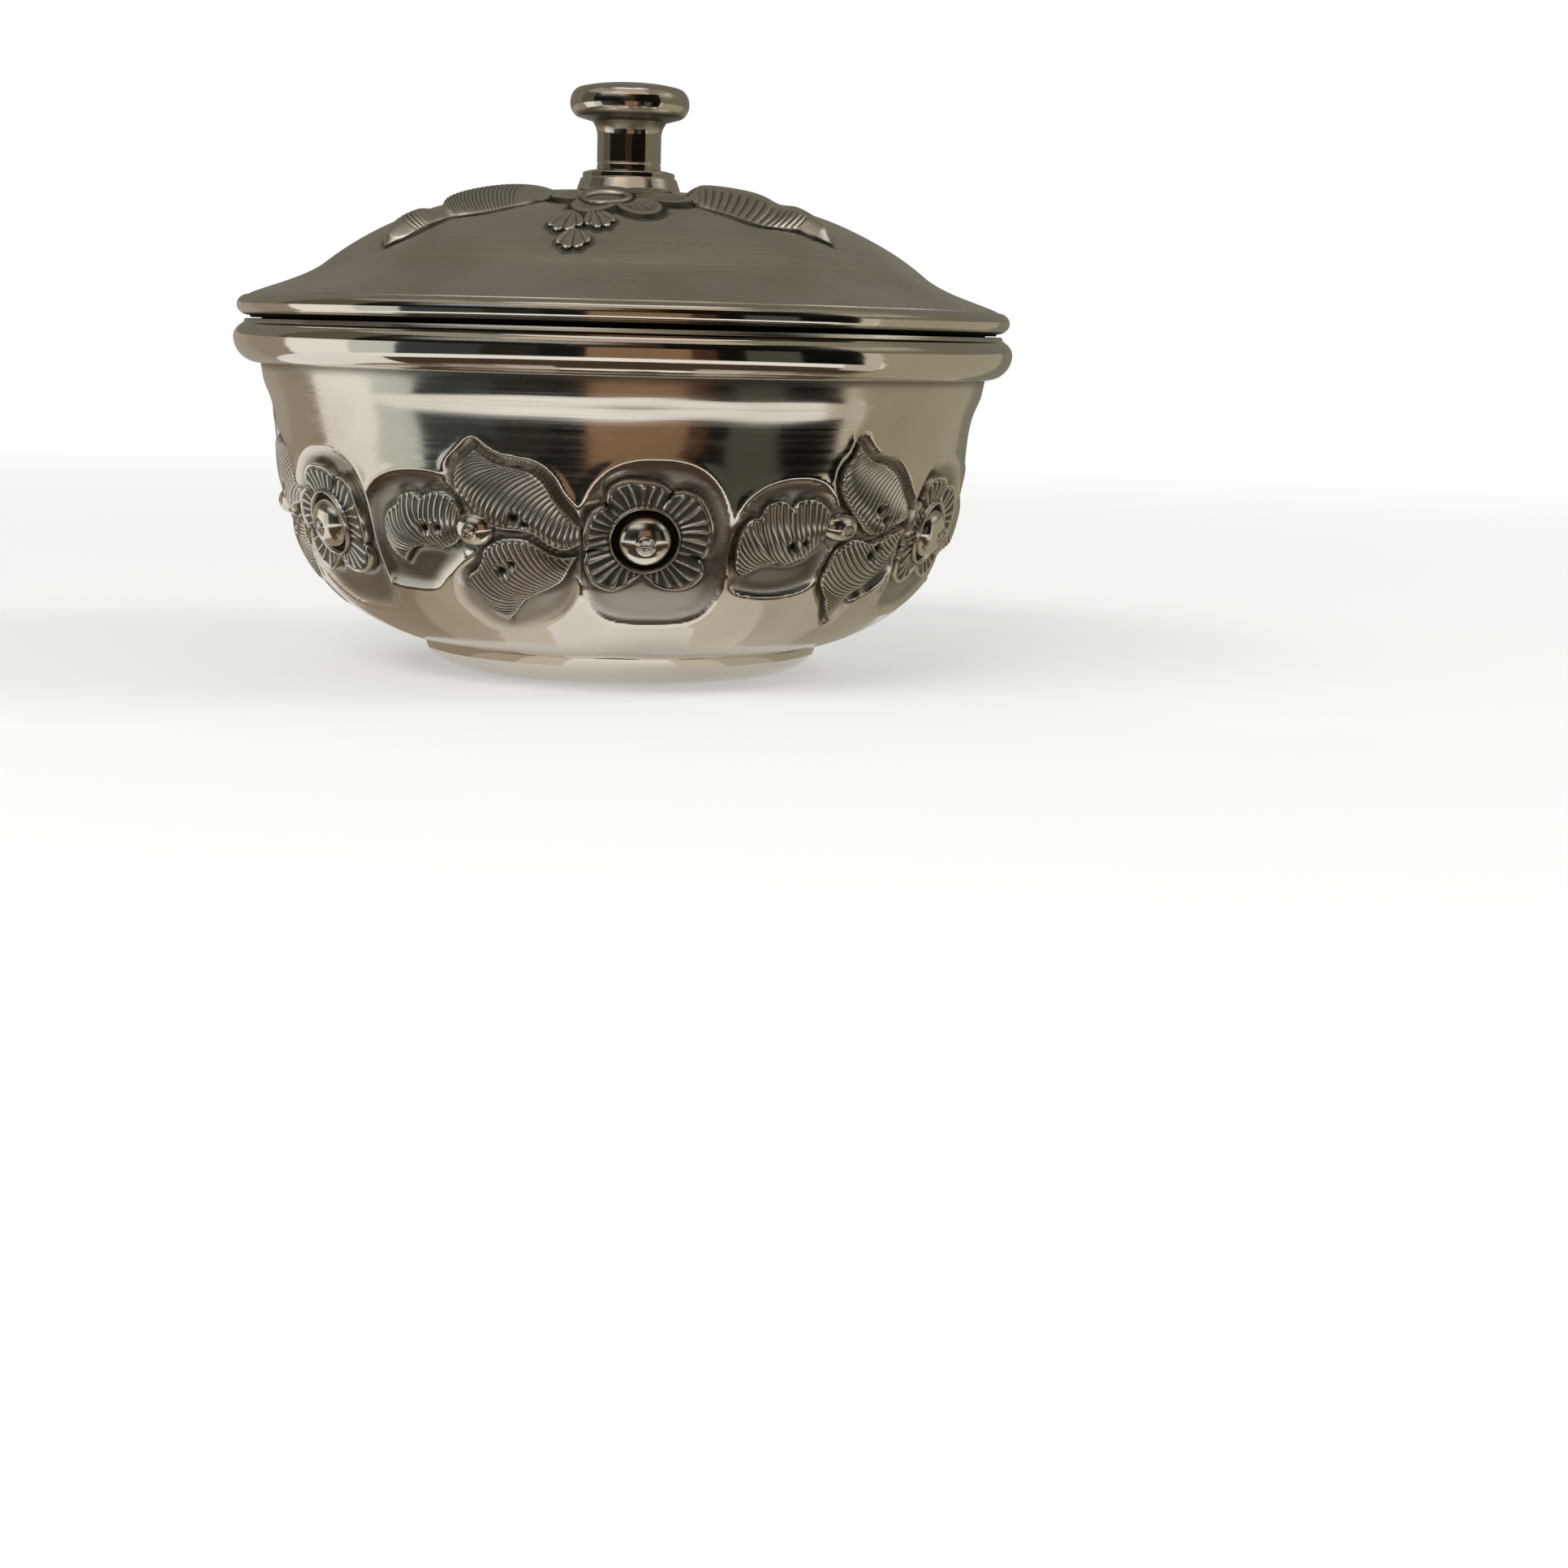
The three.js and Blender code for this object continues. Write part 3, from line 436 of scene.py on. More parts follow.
def leaf(mesh, place, edges, form, dots=()):
    """A raised leaf, from its stalk to its tip, with chased lines from edge to edge."""
    a, b = spline(edges[0]), spline(edges[1])
    middle = resample((resample(a, 60) + resample(b, 60)) / 2, 60)
    lines = int(lengths(middle)[-1] / form.pitch)
    rows = max(lines * 6, 90)
    a, b = resample(a, rows), resample(b, rows)
    # Shares of the width, closer together at the edges, and of the length.
    u = np.concatenate([[0, 0.02, 0.045, 0.075], np.linspace(0.11, 0.89, 24),
                        [0.925, 0.955, 0.98, 1]])[None, :]
    s = np.linspace(0, 1, rows + 1)[:, None]
    width = np.linalg.norm(b - a, axis=1)[:, None]
    along = np.gradient((a + b) / 2, axis=0)
    along /= np.maximum(np.linalg.norm(along, axis=1), 1e-9)[:, None]
    grid = a[:, None] * (1 - u[..., None]) + b[:, None] * u[..., None]
    # The lines bow towards the tip, less where the leaf is narrow.
    bow = (form.bow * width * 4 * u * (1 - u) * np.sin(np.pi * s) ** 0.5)[..., None]
    grid = grid + bow * along[:, None]
    side = np.where(u < form.crest, u / form.crest, (1 - u) / (1 - form.crest))
    dome = np.sin(np.pi / 2 * np.clip(side, 0, 1)) ** form.roundness
    taper = np.clip(s / 0.16, 0, 1) ** 0.5 * np.clip((1 - s) / 0.22, 0, 1) ** 0.6
    full = np.clip(width / 4.5, 0.35, 1)
    for place_s, wide, amount in form.swell:
        full = full * (1 + amount * bell(s, place_s, wide))
    up = form.rim + (form.top - form.rim) * dome * taper * full
    edge = np.minimum(u, 1 - u) * width
    phase = s * lines % 1
    shape = bell(np.minimum(phase, 1 - phase), 0, 0.29)
    lined = sum(smooth(s, start - 0.015, start + 0.015) * (1 - smooth(s, end - 0.015, end + 0.015))
                for start, end in form.lined)
    low, high = form.across
    lined = lined * smooth(edge, 0.25, 0.7) * smooth(u, low - 0.1, low + 0.02) * (
        1 - smooth(u, high - 0.02, high + 0.1))
    shape = shape * lined
    up = up - form.depth * shape
    # The chased lines are painted dark as shade.
    dark = 0.9 * shape
    rolled = bell(edge, form.edge + 0.16, 0.17) * smooth(width, 1.5, 3)
    up = up + form.roll * rolled
    # Each dot is a sunk pit, painted dark as shade.
    for x, y, radius in dots:
        near = np.hypot(grid[..., 0] - x, grid[..., 1] - y) / radius
        pit = np.exp(-near ** 4)
        up, dark = up - 0.6 * pit, np.maximum(dark, pit)
    up = form.foot + (up - form.foot) * smooth(edge, -0.02, 0.34)
    # The edge where the leaf falls to its groove is painted dark as shade, and the rolled rim is
    # left bright.
    dark = np.maximum(dark * (1 - rolled), 0.95 * (1 - smooth(edge, form.edge - 0.2, form.edge)))
    points = place(grid[..., 0], grid[..., 1], up)
    first = mesh.grid(points, dark)
    columns = u.shape[1]
    for i in range(rows):
        here, there = first + i * columns, first + (i + 1) * columns
        mesh.faces.append((here, here + columns - 1, there + columns - 1, there))
    mesh.faces.append(tuple(range(first, first + columns)))
    mesh.faces.append(tuple(range(first + rows * columns + columns - 1,
                                  first + rows * columns - 1, -1)))


def reach_round(line, turns):
    """How far a line round the origin reaches in each direction."""
    angles = np.arctan2(-line[:, 1], line[:, 0]) % (2 * math.pi)
    order = np.argsort(angles)
    return np.interp(turns, angles[order], np.hypot(*line[order].T), period=2 * math.pi)


def patch(mesh, place, centre, turns, rows, height):
    """A raised patch round its middle. Rows give the radii of its rings, and height gives
    each point's level and dark share from its place in the drawing."""
    x = centre[0] + rows * np.cos(turns)
    y = centre[1] - rows * np.sin(turns)
    up, dark = height(x, y, rows)
    first = mesh.grid(place(x, y, up), dark, closed=True, flip=True)
    columns = len(turns)
    last = first + (len(rows) - 1) * columns
    middle = [np.array([c]) for c in centre]
    middle_up, middle_dark = height(*middle, np.zeros(1))
    top = mesh.add(place(*middle, middle_up), middle_dark)
    # The point under the middle is painted dark as shade.
    under = mesh.add(place(*middle, np.array([up[-1].mean()])), 1.0)
    for i in range(columns):
        k = (i + 1) % columns
        mesh.faces += [(top, first + i, first + k), (under, last + k, last + i)]


def flower(mesh, place, floor):
    """The bowl's flower: a polished boss in a sunk ring painted dark as shade, with a fine bead
    round it, and five cupped petals with raised veins, painted dark as shade between the veins.
    Floor is the level of the dish that it stands in."""
    turns = full_turn(300)
    reach = reach_round(spline(FLOWER_OUTLINE, closed=True), turns)
    # Radii of the boss, the bead round it and the petals' roots; levels over the dish.
    boss, bead, inner = 3.3, 4.2, 4.6
    boss_foot, boss_height, ring_floor, petal_foot = 0.15, 2.1, 0.1, -0.45
    rows = [np.full_like(turns, boss * math.sin(math.radians(a)))
            for a in (12, 24, 36, 48, 58, 67, 75, 82, 88)]
    rows += [np.full_like(turns, r) for r in (3.4, 3.6, 3.8, 3.95, 4.08, 4.2, 4.32, 4.46, 4.6)]
    rows += [inner + (reach - 1.1 - inner) * f for f in np.linspace(0.1, 1, 12)]
    rows += [reach - e for e in (0.98, 0.86, 0.74, 0.62, 0.5, 0.38, 0.26, 0.13, 0)]
    rows = np.array(rows)
    notches = np.sort(np.radians(PETAL_NOTCHES) % (2 * math.pi))
    index = np.searchsorted(notches, turns) - 1
    start = notches[index]
    span = (notches[(index + 1) % len(notches)] - start) % (2 * math.pi)
    petal = ((turns - start) % (2 * math.pi)) / span
    veins = np.round(span / 0.175)

    def height(x, y, radius):
        if radius.ndim == 1:
            return np.full(radius.shape, floor + boss_foot + boss_height), np.zeros(radius.shape)
        ball = np.sqrt(np.clip(1 - (radius / boss) ** 2, 0, 1))
        up = floor + boss_foot + boss_height * ball
        # The boss's foot and the sunk ring round it are painted dark as shade; the bead is left
        # bright.
        dark = np.where(radius <= boss, 0.9 * (1 - smooth(ball, 0.03, 0.22)), 1.0)
        rim = bell(radius, bead, 0.2)
        up = np.where(radius > boss, floor + ring_floor + 0.85 * rim, up)
        dark = np.where(radius > boss, 1 - smooth(rim, 0.3, 0.8), dark)
        out = np.clip((radius - inner) / (reach - inner), 0, 1)
        leafy = smooth(radius, 4.45, 4.62)
        # Veins fan out and lean a little towards the nearer notch.
        lean = petal + (0.07 * out - 0.03) * np.sin(2 * np.pi * petal)
        lean = lean + 0.012 * np.sin(17 * petal + 3 * out + 2.4 * index)
        phase = veins * lean % 1
        vein = bell(np.minimum(phase, 1 - phase), 0, 0.17)
        swell = np.sin(np.pi * np.clip(petal, 0, 1)) ** 0.5
        cup = floor + 0.3 + 0.6 * swell * smooth(out, 0.0, 0.8)
        inside = smooth(reach - radius, 0.6, 1.0)
        level = cup + 0.24 * vein * inside
        # The petals are painted dark as shade between their veins.
        shade = (0.88 - 0.88 * vein ** 1.5) * inside
        # The line inside each petal's edge, the notches and the petals' fall to the dish are painted
        # dark as shade.
        edge = bell(reach - radius, 0.42, 0.2)
        line = bell(reach - radius, 0.8, 0.1)
        level, shade = level + 0.2 * edge - 0.15 * line, np.maximum(shade, 0.9 * line)
        notch = np.minimum(petal, 1 - petal) * span * radius
        gap = (1 - smooth(notch, 0.1, 0.4)) * np.clip(out * 2, 0, 1)
        level, shade = level - 0.4 * gap, np.maximum(shade, gap)
        fall = smooth(reach - radius, -0.02, 0.3)
        foot = floor + petal_foot
        level = foot + (level - foot) * fall
        up = up * (1 - leafy) + level * leafy
        dark = dark * (1 - leafy) + np.maximum(shade, 0.95 * (1 - fall)) * leafy
        return up, dark

    patch(mesh, place, FLOWER_CENTRE, turns, rows, height)


def ball(mesh, place, spec, top, foot):
    """The smooth boss where the leaves of a spray meet."""
    x0, y0, across, down = spec
    turns = full_turn(48)
    reach = across * down / np.hypot(down * np.cos(turns), across * np.sin(turns))
    rows = np.array([reach * math.sin(math.radians(a)) for a in (12, 26, 40, 54, 66, 77, 85, 90)])

    def level(x, y, radius):
        if radius.ndim == 1:
            return np.full(radius.shape, top), np.zeros(radius.shape)
        dome = np.sqrt(np.clip(1 - (radius / reach) ** 2, 0, 1))
        # The foot of the boss is painted dark as shade.
        return foot + (top - foot) * dome, 0.8 * (1 - smooth(dome, 0.3, 0.42))

    patch(mesh, place, (x0, y0), turns, rows, level)


def bowl_relief(across, down, mm):
    """Height of the bowl's wall over the plain section, and its dark share, in its band. The
    ground round each flower and spray is a smooth dish, and the wall rolls over its edge."""
    depth = mm.dish_depth
    shape = across.shape
    across, down = across.ravel(), down.ravel()
    height, dark = np.zeros_like(down), np.zeros_like(down)
    lip, sink = np.zeros_like(down), np.zeros_like(down)
    turn = 2 * math.pi / SPRAYS * BAND_RADIUS
    farthest = 19

    def local(about):
        """Points within reach of something drawn at about, turned round to it."""
        x = about + (across - about + turn / 2) % turn - turn / 2
        near = np.abs(x - about) < farthest
        return near, np.stack([x[near], down[near]], 1)

    def dish(near, inside, wide=2.6):
        """Sinks the ground from an edge inwards, over a width, steepest at its edge."""
        height[near] = np.minimum(height[near], -depth * (
            1 - (1 - np.clip((inside + 0.15) / wide, 0, 1)) ** 2))
        lip[near] = np.maximum(lip[near], bell(inside, -0.2, 0.6))

    for offset in (-turn / 2, 0):
        x0, y0, rx, ry = FLOWER_DISH
        near, p = local(x0 + offset)
        u, v = np.abs(p[:, 0] - x0 - offset) / rx, (p[:, 1] - y0) / ry
        power = 2.6 + 0.8 * smooth(v, -0.4, 0.6)
        reach = (u ** power + np.abs(v) ** power) ** (1 / power)
        dish(near, (1 - reach) * rx)
        outline = spline(FLOWER_OUTLINE, closed=True) + np.array(FLOWER_CENTRE) + [offset, 0]
        near, p = local(FLOWER_CENTRE[0] + offset)
        gap = distance(p, outline)
        dish(near, 0.9 - gap, 1.2)
        groove(dark, sink, near, gap)
    for spray in (LEFT_SPRAY, RIGHT_SPRAY):
        x0, y0, rx, ry = spray["ball"]
        near, p = local(x0)
        off = np.hypot((p[:, 0] - x0) / rx, (p[:, 1] - y0) / ry)
        dish(near, 1.1 + (1 - off) * min(rx, ry), 1.3)
        for edge in spray["dishes"]:
            dish(near, -distance(p, spline(edge, closed=True)))
        for name in ("side", "upper", "lower"):
            gap = distance(p, leaf_outline(spray[name]))
            dish(near, 1.1 - gap, 1.3)
            groove(dark, sink, near, gap)
    # Painted shade in the dishes, darker the deeper the ground is sunk, and a painted shadow line
    # under the moulding.
    dark = np.maximum(dark, 0.58 * smooth(-height / depth, 0.15, 0.85))
    dark = np.maximum(dark, 0.75 * bell(down, 6.2, 0.45))
    # The dishes' edges roll up a little, and the neck swells under the moulding.
    height += 0.16 * lip * (1 + height / depth) ** 2 - sink
    height += 0.26 * bell(down, 8.3, 1.7)
    return height.reshape(shape), dark.reshape(shape)


def groove(dark, sink, near, gap):
    """A chased groove round a raised shape, painted dark as shade, and the sheet sunk out of sight
    under it.
    """
    cut = bell(gap, 0.12, 0.32)
    sink[near] = np.maximum(sink[near], np.maximum(0.25 * cut, 0.34 * smooth(-gap, 0.1, 0.6)))
    dark[near] = np.maximum(dark[near], 0.95 * bell(gap, 0.08, 0.3))


def hand_raised(angle, along, size=0.035):
    """The slight unevenness that hammering leaves in a raised sheet, in millimetres."""
    total = 0
    rng = np.random.default_rng(7)
    for _ in range(9):
        turns, waves = rng.integers(3, 22), rng.uniform(0.08, 0.5)
        total = total + np.sin(turns * angle + waves * along + rng.uniform(0, 6.28))
    return size * total / 3


def add_node(tree, kind, settings=None, inputs=None):
    """Adds a node with its settings. An input is a value, a socket that feeds it, or a node
    whose first output feeds it."""
    node = tree.nodes.new(kind)
    for name, value in (settings or {}).items():
        setattr(node, name, value)
    for key, value in (inputs or {}).items():
        if isinstance(value, bpy.types.Node):
            value = value.outputs[0]
        if isinstance(value, bpy.types.NodeSocket):
            tree.links.new(value, node.inputs[key])
        else:
            node.inputs[key].default_value = value
    return node


def blank(data):
    """The emptied node tree of a new material or world."""
    data.use_nodes = True
    data.node_tree.nodes.clear()
    return data.node_tree


def silver_plate(name, colours, roughness, lines, tarnish=0.3):
    """Silver plated on brass and buffed. The eye gets a warm white metal with fine rings of
    buffing, soft brown tarnish in patches, and a black-brown painted shade in what is chased,
    in the seams and under overhangs, by each point's share of it."""
    material = bpy.data.materials.new(name)
    add = partial(add_node, blank(material))
    place = add("ShaderNodeTexCoord").outputs["Object"]
    parts = add("ShaderNodeSeparateXYZ", inputs={0: place}).outputs
    flat = add("ShaderNodeCombineXYZ", inputs={0: parts[0], 1: parts[1]})
    radius = add("ShaderNodeVectorMath", {"operation": "LENGTH"}, {0: flat}).outputs["Value"]
    # Buffing leaves lines about 0.4 mm apart, which run 40 mm or so round the box.
    across, along = 2500.0, 25
    stretched = add("ShaderNodeVectorMath", {"operation": "MULTIPLY"},
                    {0: place, 1: (along, along, across)})
    depth = add("ShaderNodeMath", {"operation": "MULTIPLY"}, {0: radius, 1: across})
    rings = add("ShaderNodeTexNoise", {"noise_dimensions": "4D"},
                {"Vector": stretched, "W": depth, "Scale": 1.0, "Detail": 3.0, "Roughness": 0.6})
    # Tarnish lies in patches of 18 mm or so.
    patches = add("ShaderNodeTexNoise", None,
                  {"Vector": place, "Scale": 55.0, "Detail": 4.0, "Roughness": 0.55})
    bloom = add("ShaderNodeMapRange", None, {0: patches, 1: 0.42, 2: 0.7, 3: 0.0, 4: tarnish})
    recess = add("ShaderNodeAttribute", {"attribute_name": "recess"}).outputs["Fac"]
    bright = add("ShaderNodeMix", {"data_type": "RGBA"},
                 {0: bloom, 6: (*colours["plate"], 1), 7: (*colours["tarnish"], 1)})
    # Painted shade: the dark colour, mixed in by each point's share of painted shade.
    oxide = add("ShaderNodeMath", {"operation": "POWER", "use_clamp": True}, {0: recess, 1: 1.1})
    colour = add("ShaderNodeMix", {"data_type": "RGBA"},
                 {0: oxide, 6: bright.outputs[2], 7: (*colours["oxide"], 1)}).outputs[2]
    worn = add("ShaderNodeMapRange", None,
               {0: rings, 1: 0.3, 2: 0.7, 3: roughness - lines * 0.5, 4: roughness + lines})
    worn = add("ShaderNodeMath", {"operation": "MULTIPLY_ADD", "use_clamp": True},
               {0: recess, 1: 0.35, 2: worn})
    bump = add("ShaderNodeBump", None,
               {"Height": rings, "Strength": 0.35 * lines / 0.1, "Distance": 0.02 * MM})
    shader = add("ShaderNodeBsdfPrincipled", None,
                 {"Base Color": colour, "Metallic": 1.0, "Roughness": worn, "Normal": bump})
    add("ShaderNodeOutputMaterial", None, {"Surface": shader})
    return material


def finishes():
    """The metals of the box, made once from the panel's colours."""
    chosen = bpy.context.scene.silver_box_colours
    plate = {name: tuple(getattr(chosen, name)) for name in ("plate", "tarnish", "oxide")}
    brass = {**plate, "plate": tuple(chosen.brass),
             "tarnish": tuple(c * 0.6 for c in chosen.brass)}
    kinds = {
        "buffed_silver_plate": (plate, 0.13, 0.08),
        "satin_silver_plate": (plate, 0.26, 0.06, 0.4),
        "polished_silver_plate": (plate, 0.08, 0.03, 0.15),
        "chased_silver_plate": (plate, 0.14, 0.02, 0.2),
        "dull_silver_plate": (plate, 0.4, 0.1, 0.8),
        "turned_brass": (brass, 0.3, 0.1),
    }
    return {name: bpy.data.materials.get(name) or silver_plate(name, *how)
            for name, how in kinds.items()}


def new_tree(name, inputs):
    """An empty Geometry Nodes tree with named inputs; the first is its geometry."""
    tree = bpy.data.node_groups.new(name, "GeometryNodeTree")
    tree.interface.new_socket("Geometry", in_out="OUTPUT", socket_type="NodeSocketGeometry")
    tree.interface.new_socket("Geometry", in_out="INPUT", socket_type="NodeSocketGeometry")
    for label, kind, value in inputs:
        socket = tree.interface.new_socket(label, in_out="INPUT", socket_type=kind)
        if value is not None:
            socket.default_value = value
    return tree


def end_tree(tree, geometry, finish):
    """Ends a tree in real geometry with its material."""
    real = add_node(tree, "GeometryNodeRealizeInstances", None, {0: geometry})
    painted = add_node(tree, "GeometryNodeSetMaterial", None,
                       {"Geometry": real, "Material": finish})
    add_node(tree, "NodeGroupOutput", None, {0: painted})
    return tree


def turning_tree():
    """Turns a section, drawn as a line of points in XZ, round Z as on a lathe."""
    name = "turned_piece"
    if name in bpy.data.node_groups:
        return bpy.data.node_groups[name]
    tree = new_tree(name, [("Flats", "NodeSocketInt", 192), ("Weld", "NodeSocketFloat", 1e-6),
                           ("Sharp Above", "NodeSocketFloat", 0.6),
                           ("Finish", "NodeSocketMaterial", None)])
    add = partial(add_node, tree)
    given = add("NodeGroupInput").outputs
    count = add("GeometryNodeAttributeDomainSize", None, {0: given[0]}).outputs["Point Count"]
    columns = add("ShaderNodeMath", {"operation": "ADD"}, {0: given["Flats"], 1: 1.0})
    sheet = add("GeometryNodeMeshGrid", None, {"Size X": 1.0, "Size Y": 1.0,
                                               "Vertices X": columns, "Vertices Y": count})
    position = add("GeometryNodeInputPosition")
    spot = add("ShaderNodeSeparateXYZ", None, {0: position}).outputs
    turn = add("ShaderNodeMath", {"operation": "MULTIPLY_ADD"},
               {0: spot[0], 1: 2 * math.pi, 2: math.pi})
    last = add("ShaderNodeMath", {"operation": "SUBTRACT"}, {0: count, 1: 1.0})
    step = add("ShaderNodeMath", {"operation": "ADD"}, {0: spot[1], 1: 0.5})
    step = add("ShaderNodeMath", {"operation": "MULTIPLY"}, {0: step, 1: last})
    step = add("ShaderNodeMath", {"operation": "ROUND"}, {0: step})
    drawn = add("GeometryNodeSampleIndex", {"data_type": "FLOAT_VECTOR"},
                {"Geometry": given[0], "Value": position, "Index": step})
    section = add("ShaderNodeSeparateXYZ", None, {0: drawn}).outputs
    sides = [add("ShaderNodeMath", {"operation": "MULTIPLY"},
                 {0: section[0], 1: add("ShaderNodeMath", {"operation": kind}, {0: turn})})
             for kind in ("COSINE", "SINE")]
    swept = add("ShaderNodeCombineXYZ", None, {0: sides[0], 1: sides[1], 2: section[2]})
    moved = add("GeometryNodeSetPosition", None, {"Geometry": sheet, "Position": swept})
    welded = add("GeometryNodeMergeByDistance", None,
                 {"Geometry": moved, "Distance": given["Weld"]})
    smoothed = add("GeometryNodeSetShadeSmooth", None, {"Geometry": welded})
    folded = add("FunctionNodeCompare", {"data_type": "FLOAT", "operation": "GREATER_THAN"},
                 {0: add("GeometryNodeInputMeshEdgeAngle"), 1: given["Sharp Above"]})
    crisp = add("GeometryNodeSetShadeSmooth", {"domain": "EDGE"},
                {"Geometry": smoothed, "Selection": folded, "Shade Smooth": False})
    return end_tree(tree, crisp, given["Finish"])


def ring_tree():
    """Repeats a drawn piece at equal steps round Z."""
    name = "repeated_round"
    if name in bpy.data.node_groups:
        return bpy.data.node_groups[name]
    tree = new_tree(name, [("Count", "NodeSocketInt", 6), ("First Turn", "NodeSocketFloat", 0.0),
                           ("Finish", "NodeSocketMaterial", None)])
    add = partial(add_node, tree)
    given = add("NodeGroupInput").outputs
    spots = add("GeometryNodePoints", None, {"Count": given["Count"]})
    share = add("ShaderNodeMath", {"operation": "DIVIDE"}, {0: 2 * math.pi, 1: given["Count"]})
    turn = add("ShaderNodeMath", {"operation": "MULTIPLY_ADD"},
               {0: add("GeometryNodeInputIndex"), 1: share, 2: given["First Turn"]})
    facing = add("ShaderNodeCombineXYZ", None, {2: turn})
    repeated = add("GeometryNodeInstanceOnPoints", None,
                   {"Points": spots, "Instance": given[0], "Rotation": facing})
    return end_tree(tree, repeated, given["Finish"])


def keep_result(piece, modifier):
    """Keeps the plain mesh that a modifier makes, and drops the modifier."""
    seen = piece.evaluated_get(bpy.context.evaluated_depsgraph_get())
    mesh = bpy.data.meshes.new_from_object(seen)
    piece.modifiers.remove(modifier)
    drawn, piece.data = piece.data, mesh
    bpy.data.meshes.remove(drawn)


def run_tree(piece, tree, values):
    """Runs a tree on an object and keeps the plain mesh that comes out."""
    modifier = piece.modifiers.new(tree.name, "NODES")
    modifier.node_group = tree
    sockets = {s.name: s.identifier for s in tree.interface.items_tree
               if s.item_type == "SOCKET" and s.in_out == "INPUT"}
    for name, value in values.items():
        modifier[sockets[name]] = value
    keep_result(piece, modifier)


def held(section, near=0.04):
    """A section with a point close to each end of its straights, which keeps them straight
    when they are shaded."""
    out = []
    turning = np.diff(section, axis=0)
    for i, step in enumerate(turning):
        out.append(section[i])
        long = np.linalg.norm(step)
        for j, share in ((i - 1, near / long), (i + 1, 1 - near / long)):
            if long > 0.3 and 0 <= j < len(turning):
                other = turning[j] / np.linalg.norm(turning[j])
                if np.dot(other, step / long) < 0.99:
                    out.append(section[i] + step * share)
    return np.array(out + [section[-1]])


def turned(name, section, finish, flats=192, dark=None):
    """A piece turned from its section, in millimetres. Dark gives the dark share of a point
    from its radius and its level."""
    section = np.array(section, float)
    if section[0][0] > 1e-6 or section[-1][0] > 1e-6:
        section = np.concatenate([section, section[:1]])
    section = held(section)
    drawing = bpy.data.meshes.new(name)
    drawing.from_pydata([(r * MM, 0, z * MM) for r, z in section],
                        [(i, i + 1) for i in range(len(section) - 1)], [])
    piece = placed(name, drawing)
    run_tree(piece, turning_tree(), {"Flats": flats, "Finish": finish})
    if dark:
        at = np.empty(3 * len(piece.data.vertices), np.float32)
        piece.data.vertices.foreach_get("co", at)
        at = at.reshape(-1, 3) / MM
        set_painted_shade(piece.data, dark(np.hypot(at[:, 0], at[:, 1]), at[:, 2]))
    return piece


def dress(piece, body, slot, *nodes):
    """Ties a finished piece to its body and hides the CAD parts that it stands for. Slot is not
    used.
    """
    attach(piece, body)
    if nodes:
        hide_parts(*nodes)


def rings(section, levels, columns, relief, sheet=0.0):
    """Rings of a raised sheet at distances along its section, with relief(angle, t)."""
    rows, darks = [], []
    for t, count in zip(levels, columns):
        angle = full_turn(count)
        height, dark = relief(angle, np.full(count, t))
        radius, level = section.at(t, height - sheet)
        rows.append(round_axis(radius, angle, level))
        darks.append(dark)
    return rows, darks


class SILVERBOX_OT_bowl_wall(bpy.types.Operator):
    """Raise the bowl: its wall with the dishes and grooves of the ornament, and its base"""

    bl_idname = "silver_box.bowl_wall"
    bl_label = "Bowl Wall"

    def execute(self, context):
        mm = measures(context)
        section = bowl_section(mm)
        end, base, floor = section.length[-1], mm.foot_height, mm.foot_height + mm.sheet
        # Points round a ring of the plain wall, of the ornament's band and of the back.
        plain, fine, coarse = 420, 840, 210

        def relief(angle, t):
            height, dark = bowl_relief(angle * BAND_RADIUS, t, mm)
            return height + smooth(t, 6, 12) * hand_raised(angle, t), dark

        upper = np.concatenate([np.linspace(0.2, 6, 5), np.linspace(7, 13, 10)])
        band = np.arange(13.4, 41.6, 0.36)
        belly = np.linspace(42.2, end, 18)
        counts = [plain] * len(upper) + [fine] * len(band) + [plain] * len(belly)
        rows, darks = rings(section, np.concatenate([upper, band, belly]), counts, relief)
        soft = np.array([relief(full_turn(plain), np.full(plain, t))[0] for t in band[::2]])
        for shift in (1, 2):
            soft = (soft + np.roll(soft, shift, 1) + np.roll(soft, -shift, 1)) / 3

        def reverse(angle, t):
            """The sheet's back, which is softer than its front but stays behind it."""
            if t[0] <= band[0] or t[0] >= band[-1]:
                return relief(angle, t)
            columns = [np.interp(t[0], band[::2], column) for column in soft[:, ::2].T]
            return np.minimum(columns, relief(angle, t)[0] + 0.6), np.zeros_like(angle)

        rows += [round_axis(radius, full_turn(plain), base) for radius in (24, 18, 11, 5)]
        rows.append(np.array([[0, 0, base]]))
        # The base inside the foot is painted dark as shade.
        darks += [0.25] * 4 + [0.3]
        inner = np.concatenate([np.linspace(0, 12, 7), np.linspace(13, 42, 59),
                                np.linspace(43.5, end, 12)])
        back, _ = rings(section, inner, [coarse] * len(inner), reverse, mm.sheet)
        # The lip is flat, with both its edges eased.
        ease = 0.2
        lip, over = rows[0][::2].copy(), back[0].copy()
        lip[:, 2] = mm.seam_height
        lip[:, :2] *= 1 - ease / np.hypot(lip[:, 0], lip[:, 1])[:, None]
        over[:, :2] *= 1 + ease / np.hypot(over[:, 0], over[:, 1])[:, None]
        back[0][:, 2] -= ease
        back += [round_axis(radius, full_turn(coarse), floor) for radius in (20, 12, 5)]
        back.append(np.array([[0, 0, floor]]))
        mesh = Mesh()
        # The lip is left bright, and the inside of the bowl gets a little painted shade.
        lathe(mesh, rows[::-1] + [lip, over] + back,
              darks[::-1] + [0.0, 0.0] + [0.1] * len(back))
        piece = mesh.object("bowl_wall", finishes()["buffed_silver_plate"])
        dress(piece, "bowl", "silver_plate", "bowl_shell")
        return {"FINISHED"}


